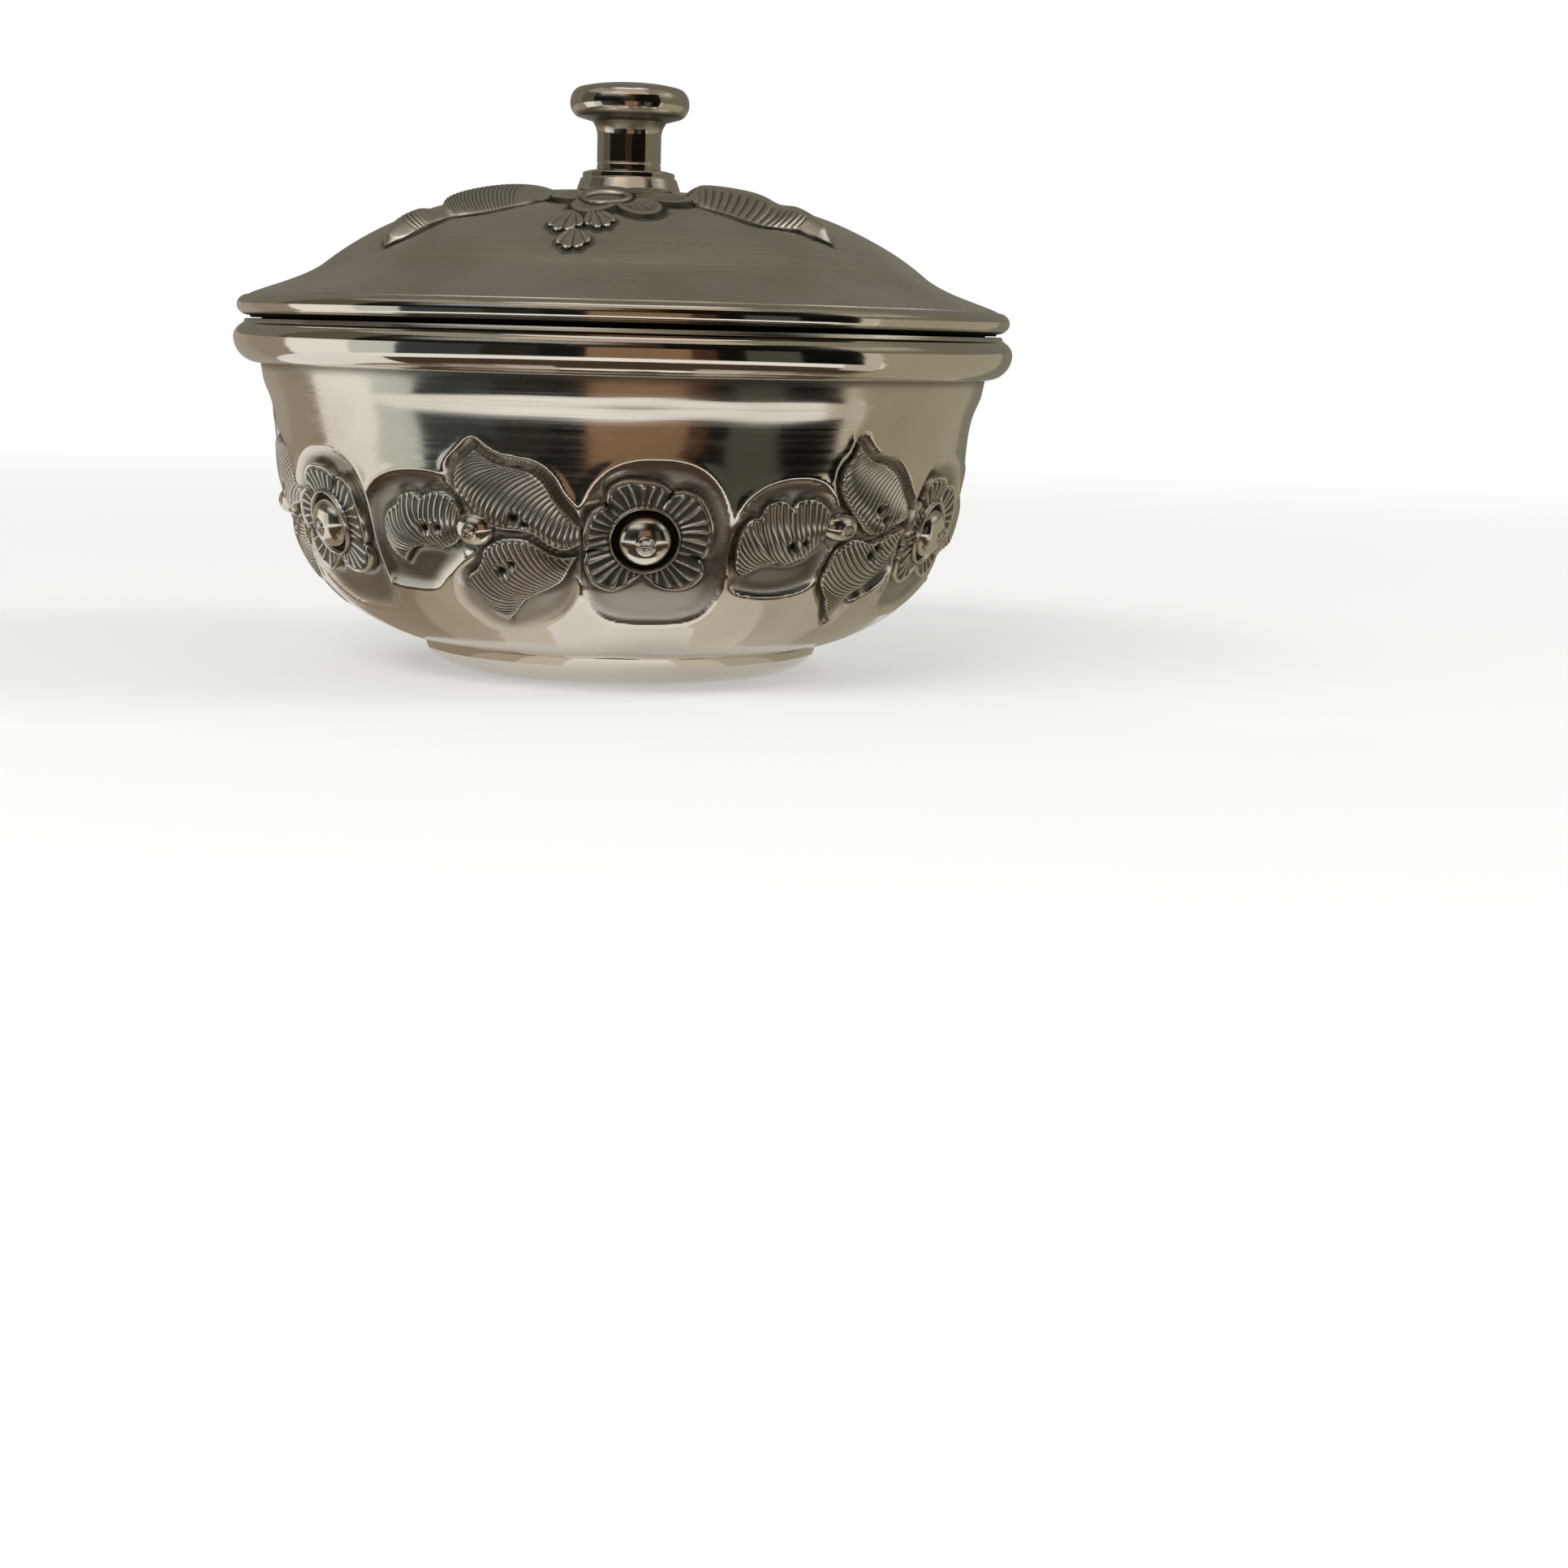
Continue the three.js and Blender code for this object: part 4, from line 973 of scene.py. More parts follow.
class SILVERBOX_OT_bowl_mouldings(bpy.types.Operator):
    """Turn the half-round moulding of the mouth and the spun foot"""

    bl_idname = "silver_box.bowl_mouldings"
    bl_label = "Rim and Foot"

    def execute(self, context):
        mm = measures(context)
        metal = finishes()
        top = mm.seam_height - 0.1
        belly = (mm.mouth_radius + 0.02, top - mm.bowl_rim_over)
        width = mm.bowl_rim_width + 0.075
        under = belly[1] - (mm.seam_height - mm.bowl_rim_depth)
        section = np.concatenate([
            arc(belly, width, under, -90, 0, 22),
            arc(belly, width, mm.bowl_rim_over, 0, 50, 12)[1:],
            arc((belly[0] + width * 0.643 - 0.5, top - 0.5 * 0.9), 0.5, 0.45, 50, 90, 5)[1:],
            [(belly[0], top)],
        ])
        # The top of the moulding, under the lid's wire, is painted dark as shadow.
        piece = turned("bowl_rim", section, metal["polished_silver_plate"],
                       dark=lambda r, z: 0.3 * smooth(z, top - 0.4, top - 0.28))
        dress(piece, "bowl", "silver_plate", "bowl_rim_moulding")
        foot, level = mm.foot_radius, mm.foot_height
        bulge, turn_in, ease, sheet = 6.5, 3.5, 0.25, mm.sheet
        land = foot - bulge
        outside = np.concatenate([
            [(land - turn_in, ease), (land - turn_in + ease, 0)],
            arc((land, level), bulge, level, -90, 0, 30),
        ])
        inside = np.concatenate([
            arc((land, level), bulge - sheet, level - sheet, 0, -90, 20),
            [(land - turn_in + ease, sheet), (land - turn_in, sheet - ease)],
        ])
        piece = turned("foot", np.concatenate([outside, inside]),
                       metal["polished_silver_plate"])
        dress(piece, "bowl", "silver_plate", "foot_ring")
        return {"FINISHED"}


class SILVERBOX_OT_bowl_flowers(bpy.types.Operator):
    """Raise the six flowers of the bowl, each with its polished boss and fluted petals"""

    bl_idname = "silver_box.bowl_flowers"
    bl_label = "Bowl Flowers"

    def execute(self, context):
        mm = measures(context)
        mesh = Mesh()
        flower(mesh, on_bowl(bowl_section(mm)), -mm.dish_depth)
        piece = mesh.object("bowl_flowers", finishes()["chased_silver_plate"])
        run_tree(piece, ring_tree(), {"Count": 2 * SPRAYS,
                                      "Finish": finishes()["chased_silver_plate"]})
        nodes = [f"bowl_flower_{turn + 1}" for turn in range(2 * SPRAYS)]
        dress(piece, "bowl", "silver_plate", *nodes)
        return {"FINISHED"}


class SILVERBOX_OT_bowl_leaves(bpy.types.Operator):
    """Raise the six sprays of three leaves between the bowl's flowers"""

    bl_idname = "silver_box.bowl_leaves"
    bl_label = "Bowl Leaves"

    def execute(self, context):
        mm = measures(context)
        place = on_bowl(bowl_section(mm))
        metal = finishes()["chased_silver_plate"]
        pitch, top = mm.hatch_pitch, mm.leaf_relief
        foot = -mm.dish_depth - 0.45
        for name, spray in (("left_sprays", LEFT_SPRAY), ("right_sprays", RIGHT_SPRAY)):
            mesh = Mesh()
            for part, crest in (("side", 0.56), ("upper", 0.66), ("lower", 0.6)):
                form = Leaf(crest, top, rim=-0.55, foot=foot, pitch=pitch, depth=0.22)
                leaf(mesh, place, spray[part], form, spray["dots"])
            ball(mesh, place, spray["ball"], top + 0.5, foot)
            piece = mesh.object(name, metal)
            run_tree(piece, ring_tree(), {"Count": SPRAYS, "Finish": metal})
            nodes = [f"{name[:-1]}_{turn + 1}_{part}_leaf" for turn in range(SPRAYS)
                     for part in ("side", "upper", "lower")]
            dress(piece, "bowl", "silver_plate", *nodes)
        return {"FINISHED"}


def lid_flower_height(x, y):
    """Level and dark share of the lid's flower: a round cup with a thick rim, and low cupped
    petals that lie half over each other round it, each with a line along its edge. The ground
    between the petals, their lines and outlines, the cup's inside and the ring round the cup
    are painted dark as shade."""
    u, v = x - LID_FLOWER[0], y - LID_FLOWER[1]
    up, dark = np.full(u.shape, -0.45), np.full(u.shape, 0.6)
    petals = [(5.4, 4.5, 3.6, math.radians(60 * k + 24), 0.05 * (k % 2)) for k in range(6)]
    for out, long, wide, turn, lift in petals:
        cx, cy = out * math.sin(turn), -out * math.cos(turn)
        a = ((u - cx) * math.sin(turn) - (v - cy) * math.cos(turn)) / long
        b = ((u - cx) * math.cos(turn) + (v - cy) * math.sin(turn)) / wide
        q = np.hypot(a, b)
        level = 0.36 + lift + 0.1 * bell(q, 0.66, 0.13) - 0.22 * (
            1 - smooth(q, 0.15, 0.6)) - (0.81 + lift) * smooth(q, 0.76, 1.03)
        spread = 0.75 + 0.5 * a
        fine = np.abs((b / spread * 3.5 + 0.5) % 1 - 0.5) * spread * wide / 3.5
        line = bell(fine, 0, 0.11) * smooth(a, -0.35, -0.1) * (1 - smooth(q, 0.5, 0.62))
        shade = np.maximum(0.75 * line, 0.97 * smooth(q, 0.72, 0.8))
        higher = level - 0.08 * line > up
        up, dark = np.where(higher, level - 0.08 * line, up), np.where(higher, shade, dark)
    far = np.hypot(u - LID_CUP[0], v - LID_CUP[1])
    cup = 0.1 + 0.6 * bell(far, 3.0, 0.36)
    shade = np.maximum(0.5 + 0.45 * bell(far, 2.4, 0.25) - 0.7 * smooth(far, 2.6, 2.95),
                       0.95 * smooth(far, 3.1, 3.3))
    inside = far < 3.75
    return np.where(inside, np.maximum(cup, -0.45), up), np.where(inside, np.clip(shade, 0, 1), dark)


def lid_flower_reach(turns):
    """How far the lid's flower reaches in each direction."""
    radii = np.linspace(3, 13, 201)[:, None]
    x = LID_FLOWER[0] + radii * np.cos(turns)
    y = LID_FLOWER[1] - radii * np.sin(turns)
    up, _ = lid_flower_height(x, y)
    inside = up > -0.2
    return np.array([radii[np.nonzero(column)[0][-1], 0] for column in inside.T])


def fan_outline(fan):
    """A fan's outline: narrow at its stalk, scalloped at its end."""
    x0, y0, x1, y1, wide, lobes = fan
    along = np.array([x1 - x0, y1 - y0])
    long = np.linalg.norm(along)
    along = along / long
    side = np.array([-along[1], along[0]])
    points = []
    for s in np.linspace(-1, 1, 12 * lobes + 1):
        scallop = abs(math.sin(math.pi * lobes * (s + 1) / 2)) ** 0.6
        reach = long * (1.0 - 0.32 * s * s) * (0.86 + 0.16 * scallop)
        angle = s * math.atan2(wide, long)
        points.append(np.array([x0, y0]) + reach * (along * math.cos(angle)
                                                      + side * math.sin(angle)))
    points.append(np.array([x0, y0]) - side * 0.3)
    points.insert(0, np.array([x0, y0]) - along * 0.3)
    return resample(np.array(points + points[:1]), 150)[:-1]


def fan(mesh, place, spec):
    """A fluted fan of the lid, raised a little and rayed from its stalk, with the valleys between
    its flutes and its edge painted dark as shade.
    """
    x0, y0, x1, y1, wide, lobes = spec
    centre = (x0 * 0.4 + x1 * 0.6, y0 * 0.4 + y1 * 0.6)
    turns = full_turn(150)
    reach = reach_round(fan_outline(spec) - centre, turns)
    shares = np.concatenate([np.linspace(0.08, 0.84, 12), [0.9, 0.95, 1.0]])
    rows = shares[:, None] * reach
    along = math.atan2(y1 - y0, x1 - x0)
    half = math.atan2(wide, math.hypot(x1 - x0, y1 - y0))

    def height(x, y, radius):
        angle = np.arctan2(y - y0, x - x0) - along
        angle = (angle + math.pi) % (2 * math.pi) - math.pi
        ridge = np.abs(np.sin(math.pi * lobes * (angle / half + 1) / 2))
        far = np.hypot(x - x0, y - y0)
        edge = smooth(1 - radius / reach, 0, 0.16) if radius.ndim > 1 else 1
        level = 0.2 + 0.25 * ridge * smooth(far, 0.5, 2)
        return -0.4 + (level + 0.4) * edge, np.maximum(0.95 * (1 - ridge) ** 1.3, 0.95 * (
            1 - smooth(edge * np.ones_like(far), 0.8, 1.0)))

    patch(mesh, place, centre, turns, rows, height)


def lid_relief(x, y):
    """Height of the lid's sheet over the plain dome and its dark share, from above."""
    shape = x.shape
    radius = np.hypot(x, y).ravel()
    turn = 2 * math.pi / LID_GROUPS
    angle = (np.arctan2(x, -y).ravel() + turn / 2) % turn - turn / 2
    dark, sink = np.zeros_like(radius), np.zeros_like(radius)
    turns = full_turn(120)
    reach = lid_flower_reach(turns)
    rose = np.stack([LID_FLOWER[0] + reach * np.cos(turns),
                     LID_FLOWER[1] - reach * np.sin(turns)], 1)
    outlines = [rose] + [leaf_outline(e) for e in LID_LEAVES.values()]
    outlines += [fan_outline(f) for f in LID_FANS]
    p = np.stack([radius * np.sin(angle), -radius * np.cos(angle)], 1)
    for outline in outlines:
        low, high = outline.min(0) - 1.5, outline.max(0) + 1.5
        near = np.nonzero(((p > low) & (p < high)).all(1))[0]
        if len(near):
            groove(dark, sink, near, distance(p[near], outline))
    return -sink.reshape(shape), dark.reshape(shape)


class SILVERBOX_OT_lid_dome(bpy.types.Operator):
    """Raise the lid's dome and flange, with the grooves of its ornament"""

    bl_idname = "silver_box.lid_dome"
    bl_label = "Lid Dome"

    def execute(self, context):
        mm = measures(context)
        section = lid_section(mm)
        end = section.length[-1]
        # Points round a ring of the plain sheet, of the ornament's field and of the back.
        plain, fine, coarse = 360, 720, 180

        def relief(angle, t):
            radius = section.at(t, 0)[0]
            height, dark = lid_relief(radius * np.sin(angle), -radius * np.cos(angle))
            return height + smooth(t, 8, 16) * hand_raised(angle + 1, t, 0.02), dark

        def reverse(angle, t):
            return np.zeros_like(angle), np.zeros_like(angle)

        crown = np.concatenate([[0], np.linspace(3, 6.2, 3), np.arange(6.6, 18.6, 0.36)])
        field = np.arange(18.9, 40.8, 0.36)
        flange = np.concatenate([np.linspace(41.4, end - 0.5, 16), [end - 0.05, end]])
        counts = [plain] * len(crown) + [fine] * len(field) + [plain] * len(flange)
        rows, darks = rings(section, np.concatenate([crown, field, flange]), counts, relief)
        inner = np.linspace(0, end - 0.3, 46)
        back, _ = rings(section, inner, [coarse] * len(inner), reverse, mm.sheet)
        # The flange's edge is cut flat above the ring, from its front to its back.
        edge = [rows[-1].copy(), back[-1].copy()]
        for ring in edge:
            ring[:, 2] = mm.seam_height + mm.sheet
        mesh = Mesh()
        # The flange's edge in the seam is painted dark as shade, the inside of the lid a little, and
        # the edge of the hole under the knob more.
        lathe(mesh, rows + edge + back[::-1] + [rows[0][::2]],
              darks + [0.6, 0.6] + [0.1] * len(back) + [0.3], flip=True)
        piece = mesh.object("lid_dome", finishes()["satin_silver_plate"])
        weld(piece)
        dress(piece, "lid", "silver_plate", "lid_shell")
        return {"FINISHED"}


def weld(piece):
    """Joins points of a mesh that lie in one place, such as a ring that closes a sheet."""
    edit = bmesh.new()
    edit.from_mesh(piece.data)
    bmesh.ops.remove_doubles(edit, verts=edit.verts, dist=1e-7)
    edit.to_mesh(piece.data)
    edit.free()


class SILVERBOX_OT_lid_edge(bpy.types.Operator):
    """Turn the round wire of the lid's edge and the ring that centres the lid"""

    bl_idname = "silver_box.lid_edge"
    bl_label = "Lid Wire and Ring"

    def execute(self, context):
        mm = measures(context)
        metal = finishes()
        seam = mm.seam_height
        edge = mm.mouth_radius + mm.lid_overhang
        low, high = seam + 0.3, seam + mm.flange_height - 0.1
        wire = arc((edge + 0.02, (low + high) / 2), mm.lid_rim_width + 0.08,
                   (high - low) / 2, -90, 90, 32)
        # The wire's underside, in the seam, is painted dark as shadow.
        piece = turned("lid_wire", wire, metal["polished_silver_plate"],
                       dark=lambda r, z: 1 - smooth(z, low + 0.26, low + 0.38))
        dress(piece, "lid", "silver_plate", "lid_rim_moulding")
        sheet, bore = mm.sheet, mm.mouth_radius - mm.sheet - 0.4
        foot, soft = seam - 5, 0.2
        section = [
            (bore - sheet, foot + soft), (bore - sheet + soft, foot), (bore - 0.4, foot),
            (bore, foot + 0.4), (bore, seam - soft), (bore + soft, seam),
            (edge - soft, seam), (edge, seam + soft), (edge, seam + sheet),
            (bore - sheet + 0.5, seam + sheet), (bore - sheet, seam + sheet - 0.5),
        ]
        # The ring's flat in the seam, outside the bore, is painted dark as shade.
        piece = turned("lid_ring", section, metal["dull_silver_plate"],
                       dark=lambda r, z: smooth(r, bore - 0.1, bore + 0.1))
        dress(piece, "lid", "silver_plate", "lid_locating_ring")
        return {"FINISHED"}


class SILVERBOX_OT_lid_ornament(bpy.types.Operator):
    """Raise the flowers, leaves and fans of the lid"""

    bl_idname = "silver_box.lid_ornament"
    bl_label = "Lid Ornament"

    def execute(self, context):
        mm = measures(context)
        place = on_lid(lid_section(mm))
        metal = finishes()["satin_silver_plate"]
        pitch, top = mm.hatch_pitch, mm.lid_relief
        mesh = Mesh()
        low = {"rim": 0.05, "foot": -0.45, "bow": 0.12, "roundness": 1.0, "edge": 0.5, "roll": 0.0}
        leaf(mesh, place, LID_LEAVES["left"], Leaf(
            0.42, top, pitch=pitch * 0.75, depth=0.11, lined=((0.22, 0.58), (0.74, 0.8)),
            across=(0.3, 1), swell=((0.64, 0.06, -0.55), (0.02, 0.2, -0.75)), **low))
        leaf(mesh, place, LID_LEAVES["right"], Leaf(
            0.42, top, pitch=pitch * 1.4, depth=0.16, lined=((0.12, 0.78),),
            across=(0.6, 1), swell=((0.54, 0.07, -0.35), (0.0, 0.1, -0.5)), **low))
        for spec in LID_FANS:
            fan(mesh, place, spec)
        turns = full_turn(300)
        reach = lid_flower_reach(turns)
        shares = np.concatenate([np.linspace(0.03, 0.97, 40), [1.0]])

        def level(x, y, radius):
            up, dark = lid_flower_height(x, y)
            if radius.ndim > 1:
                # The outermost ring is painted dark as shade.
                up[-1], dark[-1] = -0.45, 1
            return up, dark

        patch(mesh, place, LID_FLOWER, turns, shares[:, None] * reach, level)
        piece = mesh.object("lid_ornament", metal)
        run_tree(piece, ring_tree(), {"Count": LID_GROUPS, "Finish": metal})
        nodes = [f"lid_{form}_{turn + 1}" for turn in range(LID_GROUPS)
                 for form in ("flower", "left_leaf", "right_leaf", "fans")]
        dress(piece, "lid", "silver_plate", *nodes)
        return {"FINISHED"}


def rounded(points, radius=0.25, steps=3):
    """A section with its corners rounded; points on the axis stay."""
    p = np.array(points, float)
    out = []
    for i, corner in enumerate(p):
        if corner[0] < 1e-6:
            out.append(corner)
            continue
        before, after = p[i - 1], p[(i + 1) % len(p)]
        a, b = before - corner, after - corner
        reach = min(radius, np.linalg.norm(a) * 0.45, np.linalg.norm(b) * 0.45)
        start = corner + a / np.linalg.norm(a) * reach
        end = corner + b / np.linalg.norm(b) * reach
        for t in np.linspace(0, 1, steps + 1):
            out.append((1 - t) ** 2 * start + 2 * (1 - t) * t * corner + t * t * end)
    return np.array(out)


class SILVERBOX_OT_knob(bpy.types.Operator):
    """Turn the knob's collar, stem and head"""

    bl_idname = "silver_box.knob"
    bl_label = "Knob"

    def execute(self, context):
        mm = measures(context)
        metal = finishes()["polished_silver_plate"]
        dome = mm.seam_height + mm.dome_height
        stem = mm.stem_radius
        top = dome + COLLAR_HEIGHT
        step = dome + 1.9
        collar = [(KNOB_BORE, dome), (stem + 2.8, dome), (stem + 2.15, step), (stem + 1.9, step),
                  (stem + 1.9, top - 0.3), (stem + 0.8, top), (KNOB_BORE, top)]
        piece = turned("knob_foot", rounded(collar, 0.18), metal, 128)
        dress(piece, "lid", "silver_plate", "knob_collar")
        high = top + mm.stem_height
        tapped, depth, neck, flared = 1.6, 5, high - 2.0, stem + 0.65
        # The stem has three faint turned rings near its foot and flares under the head.
        body = [(0, top + depth), (tapped, top + depth), (tapped, top), (stem - 0.15, top),
                (stem, top + 0.15), (stem, top + 0.7), (stem - 0.1, top + 0.85),
                (stem, top + 1.0), (stem, neck)]
        flare = bend((stem, neck), (flared, high), 90, 0.5, 60, 0.3, 6)[1:]
        # The top of the stem, under the head, is painted dark as shade.
        piece = turned("knob_post", np.concatenate([body, flare, [(0, high)]]), metal, 128,
                       dark=lambda r, z: 0.75 * smooth(z, high - 1.6, high - 0.3))
        dress(piece, "lid", "silver_plate", "knob_stem")
        # The head's edge is a half ellipse, rounder above, that a low crown closes.
        wide, below, above = 1.6, 1.95, 2.1
        edge = (mm.head_radius - wide, high + 2.4)
        shoulder = arc(edge, wide, above, 0, 80, 16)
        head = np.concatenate([
            [(0, high), (flared, high)], arc(edge, wide, below, -72, 0, 14), shoulder[1:],
            bend(shoulder[-1], (0, edge[1] + 2.695), 166, 0.35, 180, 0.4, 14)[1:],
        ])
        # The head's underside is painted dark as shade.
        piece = turned("knob_button", head, metal, 160,
                       dark=lambda r, z: 0.85 * (1 - smooth(z, edge[1] - 1.75, edge[1] - 0.9)))
        dress(piece, "lid", "silver_plate", "knob_head")
        return {"FINISHED"}


class SILVERBOX_OT_fixing(bpy.types.Operator):
    """Turn the washer and the slotted screw that hold the knob from inside the lid"""

    bl_idname = "silver_box.fixing"
    bl_label = "Washer and Screw"

    def execute(self, context):
        mm = measures(context)
        metal = finishes()
        under = mm.seam_height + mm.dome_height - mm.sheet
        radius, seat = 4.2, under - 0.8
        washer = [(KNOB_BORE, seat), (radius, seat), (radius, under), (KNOB_BORE, under)]
        piece = turned("washer", rounded(washer), metal["dull_silver_plate"], 96)
        dress(piece, "lid", "washer_silver", "knob_washer")
        tip = mm.seam_height + mm.dome_height + COLLAR_HEIGHT + 4.4
        shank, root, pitch = 1.5, 1.3, 0.35
        threads = []
        height = seat + 3.2
        while height < tip - 0.8:
            threads += [(shank, height), (root, height + 0.15), (shank, height + 0.3)]
            height += pitch
        head, crown, domed = 3.1, 1.1, 0.6
        screw = np.concatenate([
            [(0, seat - crown - domed)], arc((0, seat - crown), 2.75, domed, -90, -20, 8)[1:],
            [(head, seat - crown), (head, seat), (shank, seat)], threads,
            [(shank, tip - 0.4), (1.1, tip), (0, tip)],
        ])
        piece = turned("screw", screw, metal["turned_brass"], 96)
        slot_cut(piece, seat - crown - domed, width=0.7, depth=0.7)
        dress(piece, "lid", "screw_brass", "knob_screw")
        return {"FINISHED"}


def slot_cut(piece, low, width, depth):
    """Cuts a straight slot across a screw's head."""
    cutter = bpy.data.meshes.new("slot")
    x, y = 4 * MM, width / 2 * MM
    corners = [(a, b, c * MM) for c in (low - 1, low + depth) for b in (-y, y) for a in (-x, x)]
    cutter.from_pydata(corners, [], [(0, 2, 3, 1), (4, 5, 7, 6), (0, 1, 5, 4), (2, 6, 7, 3),
                                     (0, 4, 6, 2), (1, 3, 7, 5)])
    block = placed("slot", cutter)
    cut = piece.modifiers.new("slot", "BOOLEAN")
    cut.object, cut.operation, cut.solver = block, "DIFFERENCE", "EXACT"
    keep_result(piece, cut)
    bpy.data.objects.remove(block)
    bpy.data.meshes.remove(cutter)


# Cards round the box, each from one direction to the next, in degrees from the front
# towards +X, with the line that it rises along, as distance and height in metres. Polished
# metal has the look of what it mirrors.
LINES = {
    "front": [(0.1, 0.0008), (0.13, 0.006), (0.16, 0.03), (0.17, 0.057)],
    "near": [(0.054, 0.0008), (0.13, 0.006), (0.16, 0.03), (0.17, 0.057)],
    "hood": [(0.17, 0.057), (0.175, 0.13), (0.17, 0.19)],
    "crown": [(0.17, 0.19), (0.125, 0.29)],
    "streak": [(0.048, 0.0006), (0.08, 0.0006)],
    "mid": [(0.07, 0.0007), (0.1, 0.0008)],
    "skirt": [(0.028, 0.0006), (0.056, 0.0006)],
    "over": [(0.055, 0.42), (0.13, 0.35)],
}
CARDS = [
    (-9, 15, "front", "#8A6E55"), (15, 21, "front", "#4A3226"), (21, 28, "front", "#14120F"),
    (28, 42, "front", "#4E4D46"), (42, 60, "front", "#0F0E0C"), (60, 66, "front", "#C9C3B2"),
    (66, 128, "near", "#A29C88"), (128, 150, "front", "#7D7A6C"), (150, 178, "front", "#A8A292"),
    (178, 204, "front", "#DAD5C9"), (204, 236, "front", "#A39B8D"), (236, 262, "front", "#9B8E7E"),
    (262, 288, "front", "#F8F6F0"), (288, 303, "front", "#CFD2CE"), (303, 326, "front", "#3B4040"),
    (326, 340, "front", "#2A2823"), (340, 351, "front", "#191A18"),
    (-104, -72, "hood", "#5F584E"), (104, 256, "hood", "#77736A"), (-72, -14, "hood", "#1B1814"),
    (-14, 9, "hood", "#3A2B21"), (9, 60, "hood", "#14120F"), (60, 104, "hood", "#77735F"),
    (-104, -40, "crown", "#9A958A"),
    (-40, 42, "crown", "#C2B3A2"), (42, 104, "crown", "#8A8574"), (-62, 62, "streak", "#4A3C31"),
    (62, 74, "streak", "#77725F"), (128, 150, "streak", "#5A5548"),
    (54, 66, "mid", "#C4BEAE"), (128, 144, "mid", "#B5AF9E"),
    (18, 34, "skirt", "#CFC9BB"), (34, 56, "skirt", "#B7B1A1"), (56, 110, "skirt", "#A29C8A"),
    (-34, -18, "skirt", "#CDC5B7"), (-54, -34, "skirt", "#B0A594"), (-110, -54, "skirt", "#978A78"),
    (-75, 75, "over", "#F3EFE6"),
]


def card(name, corners, colour):
    """A studio card through a grid of corners, seen only as a reflection."""
    material = bpy.data.materials.new(name)
    add = partial(add_node, blank(material))
    glow = add("ShaderNodeEmission", None, {"Color": (*linear(colour), 1), "Strength": 1.0})
    add("ShaderNodeOutputMaterial", None, {"Surface": glow})
    rows, columns = corners.shape[:2]
    mesh = bpy.data.meshes.new(name)
    mesh.from_pydata(corners.reshape(-1, 3).tolist(), [],
                     [(i, i + 1, i + columns + 1, i + columns) for row in range(rows - 1)
                      for i in range(row * columns, (row + 1) * columns - 1)])
    mesh.materials.append(material)
    made = placed(name, mesh)
    made.visible_camera = made.visible_diffuse = made.visible_shadow = False


def camera(studio):
    """The camera where the photograph was taken from."""
    yaw, pitch, roll = studio.yaw, studio.pitch, studio.roll
    ahead = np.array([math.sin(yaw) * math.cos(pitch), math.cos(yaw) * math.cos(pitch),
                      -math.sin(pitch)])
    right = np.array([math.cos(yaw), -math.sin(yaw), 0])
    up = np.cross(right, ahead)
    right, up = (math.cos(roll) * right + math.sin(roll) * up,
                 -math.sin(roll) * right + math.cos(roll) * up)
    data = bpy.data.cameras.new("camera")
    data.sensor_width, data.lens = 36, studio.lens
    data.clip_start, data.clip_end = 0.01, 50
    made = placed("camera", data)
    rows = zip(right, up, -ahead, studio.camera_place)
    made.matrix_world = Matrix([*rows, (0, 0, 0, 1)])
    bpy.context.scene.camera = made


def floor_board(tone):
    """A matt pale floor that runs to white in the distance and keeps the box's shadow."""
    material = bpy.data.materials.new("matt_white_board")
    add = partial(add_node, blank(material))
    place = add("ShaderNodeTexCoord").outputs["Object"]
    far = add("ShaderNodeVectorMath", {"operation": "LENGTH"}, {0: place}).outputs["Value"]
    fade = add("ShaderNodeMapRange", None, {0: far, 1: 0.12, 2: 0.6, 3: 0.35, 4: 1.0})
    path = add("ShaderNodeLightPath").outputs
    seen = add("ShaderNodeMath", {"operation": "ADD", "use_clamp": True},
               {0: path["Is Camera Ray"], 1: path["Is Glossy Ray"]})
    fade = add("ShaderNodeMath", {"operation": "MULTIPLY"}, {0: fade, 1: seen})
    matt = add("ShaderNodeBsdfPrincipled", None, {"Base Color": (*tone, 1), "Roughness": 0.9})
    white = add("ShaderNodeEmission", None, {"Color": (1, 1, 1, 1), "Strength": 1.0})
    mixed = add("ShaderNodeMixShader", None, {0: fade, 1: matt, 2: white})
    add("ShaderNodeOutputMaterial", None, {"Surface": mixed})
    half, level = 8, -1e-4
    mesh = bpy.data.meshes.new("floor")
    mesh.from_pydata([(-half, -half, level), (half, -half, level), (half, half, level),
                      (-half, half, level)], [], [(0, 1, 2, 3)])
    mesh.materials.append(material)
    placed("floor", mesh)


def room(world, dim):
    """A white room, which lights matt things only dimly."""
    add = partial(add_node, blank(world))
    path = add("ShaderNodeLightPath").outputs
    seen = add("ShaderNodeMath", {"operation": "ADD"},
               {0: path["Is Camera Ray"], 1: path["Is Glossy Ray"]})
    seen = add("ShaderNodeMath", {"operation": "ADD", "use_clamp": True},
               {0: seen, 1: path["Is Transmission Ray"]})
    level = add("ShaderNodeMapRange", None, {0: seen, 1: 0.0, 2: 1.0, 3: dim, 4: 1.0})
    back = add("ShaderNodeBackground", None, {"Color": (1, 1, 1, 1), "Strength": level})
    add("ShaderNodeOutputWorld", None, {"Surface": back})


def lamp(name, place, size, power):
    """A soft oblong lamp that faces the box's middle."""
    data = bpy.data.lights.new(name, "AREA")
    data.shape = "RECTANGLE"
    data.size, data.size_y, data.energy = *size, power
    made = placed(name, data)
    made.location = place
    aim = Vector((0, 0, 0.04)) - Vector(place)
    made.rotation_euler = aim.to_track_quat("-Z", "Y").to_euler()


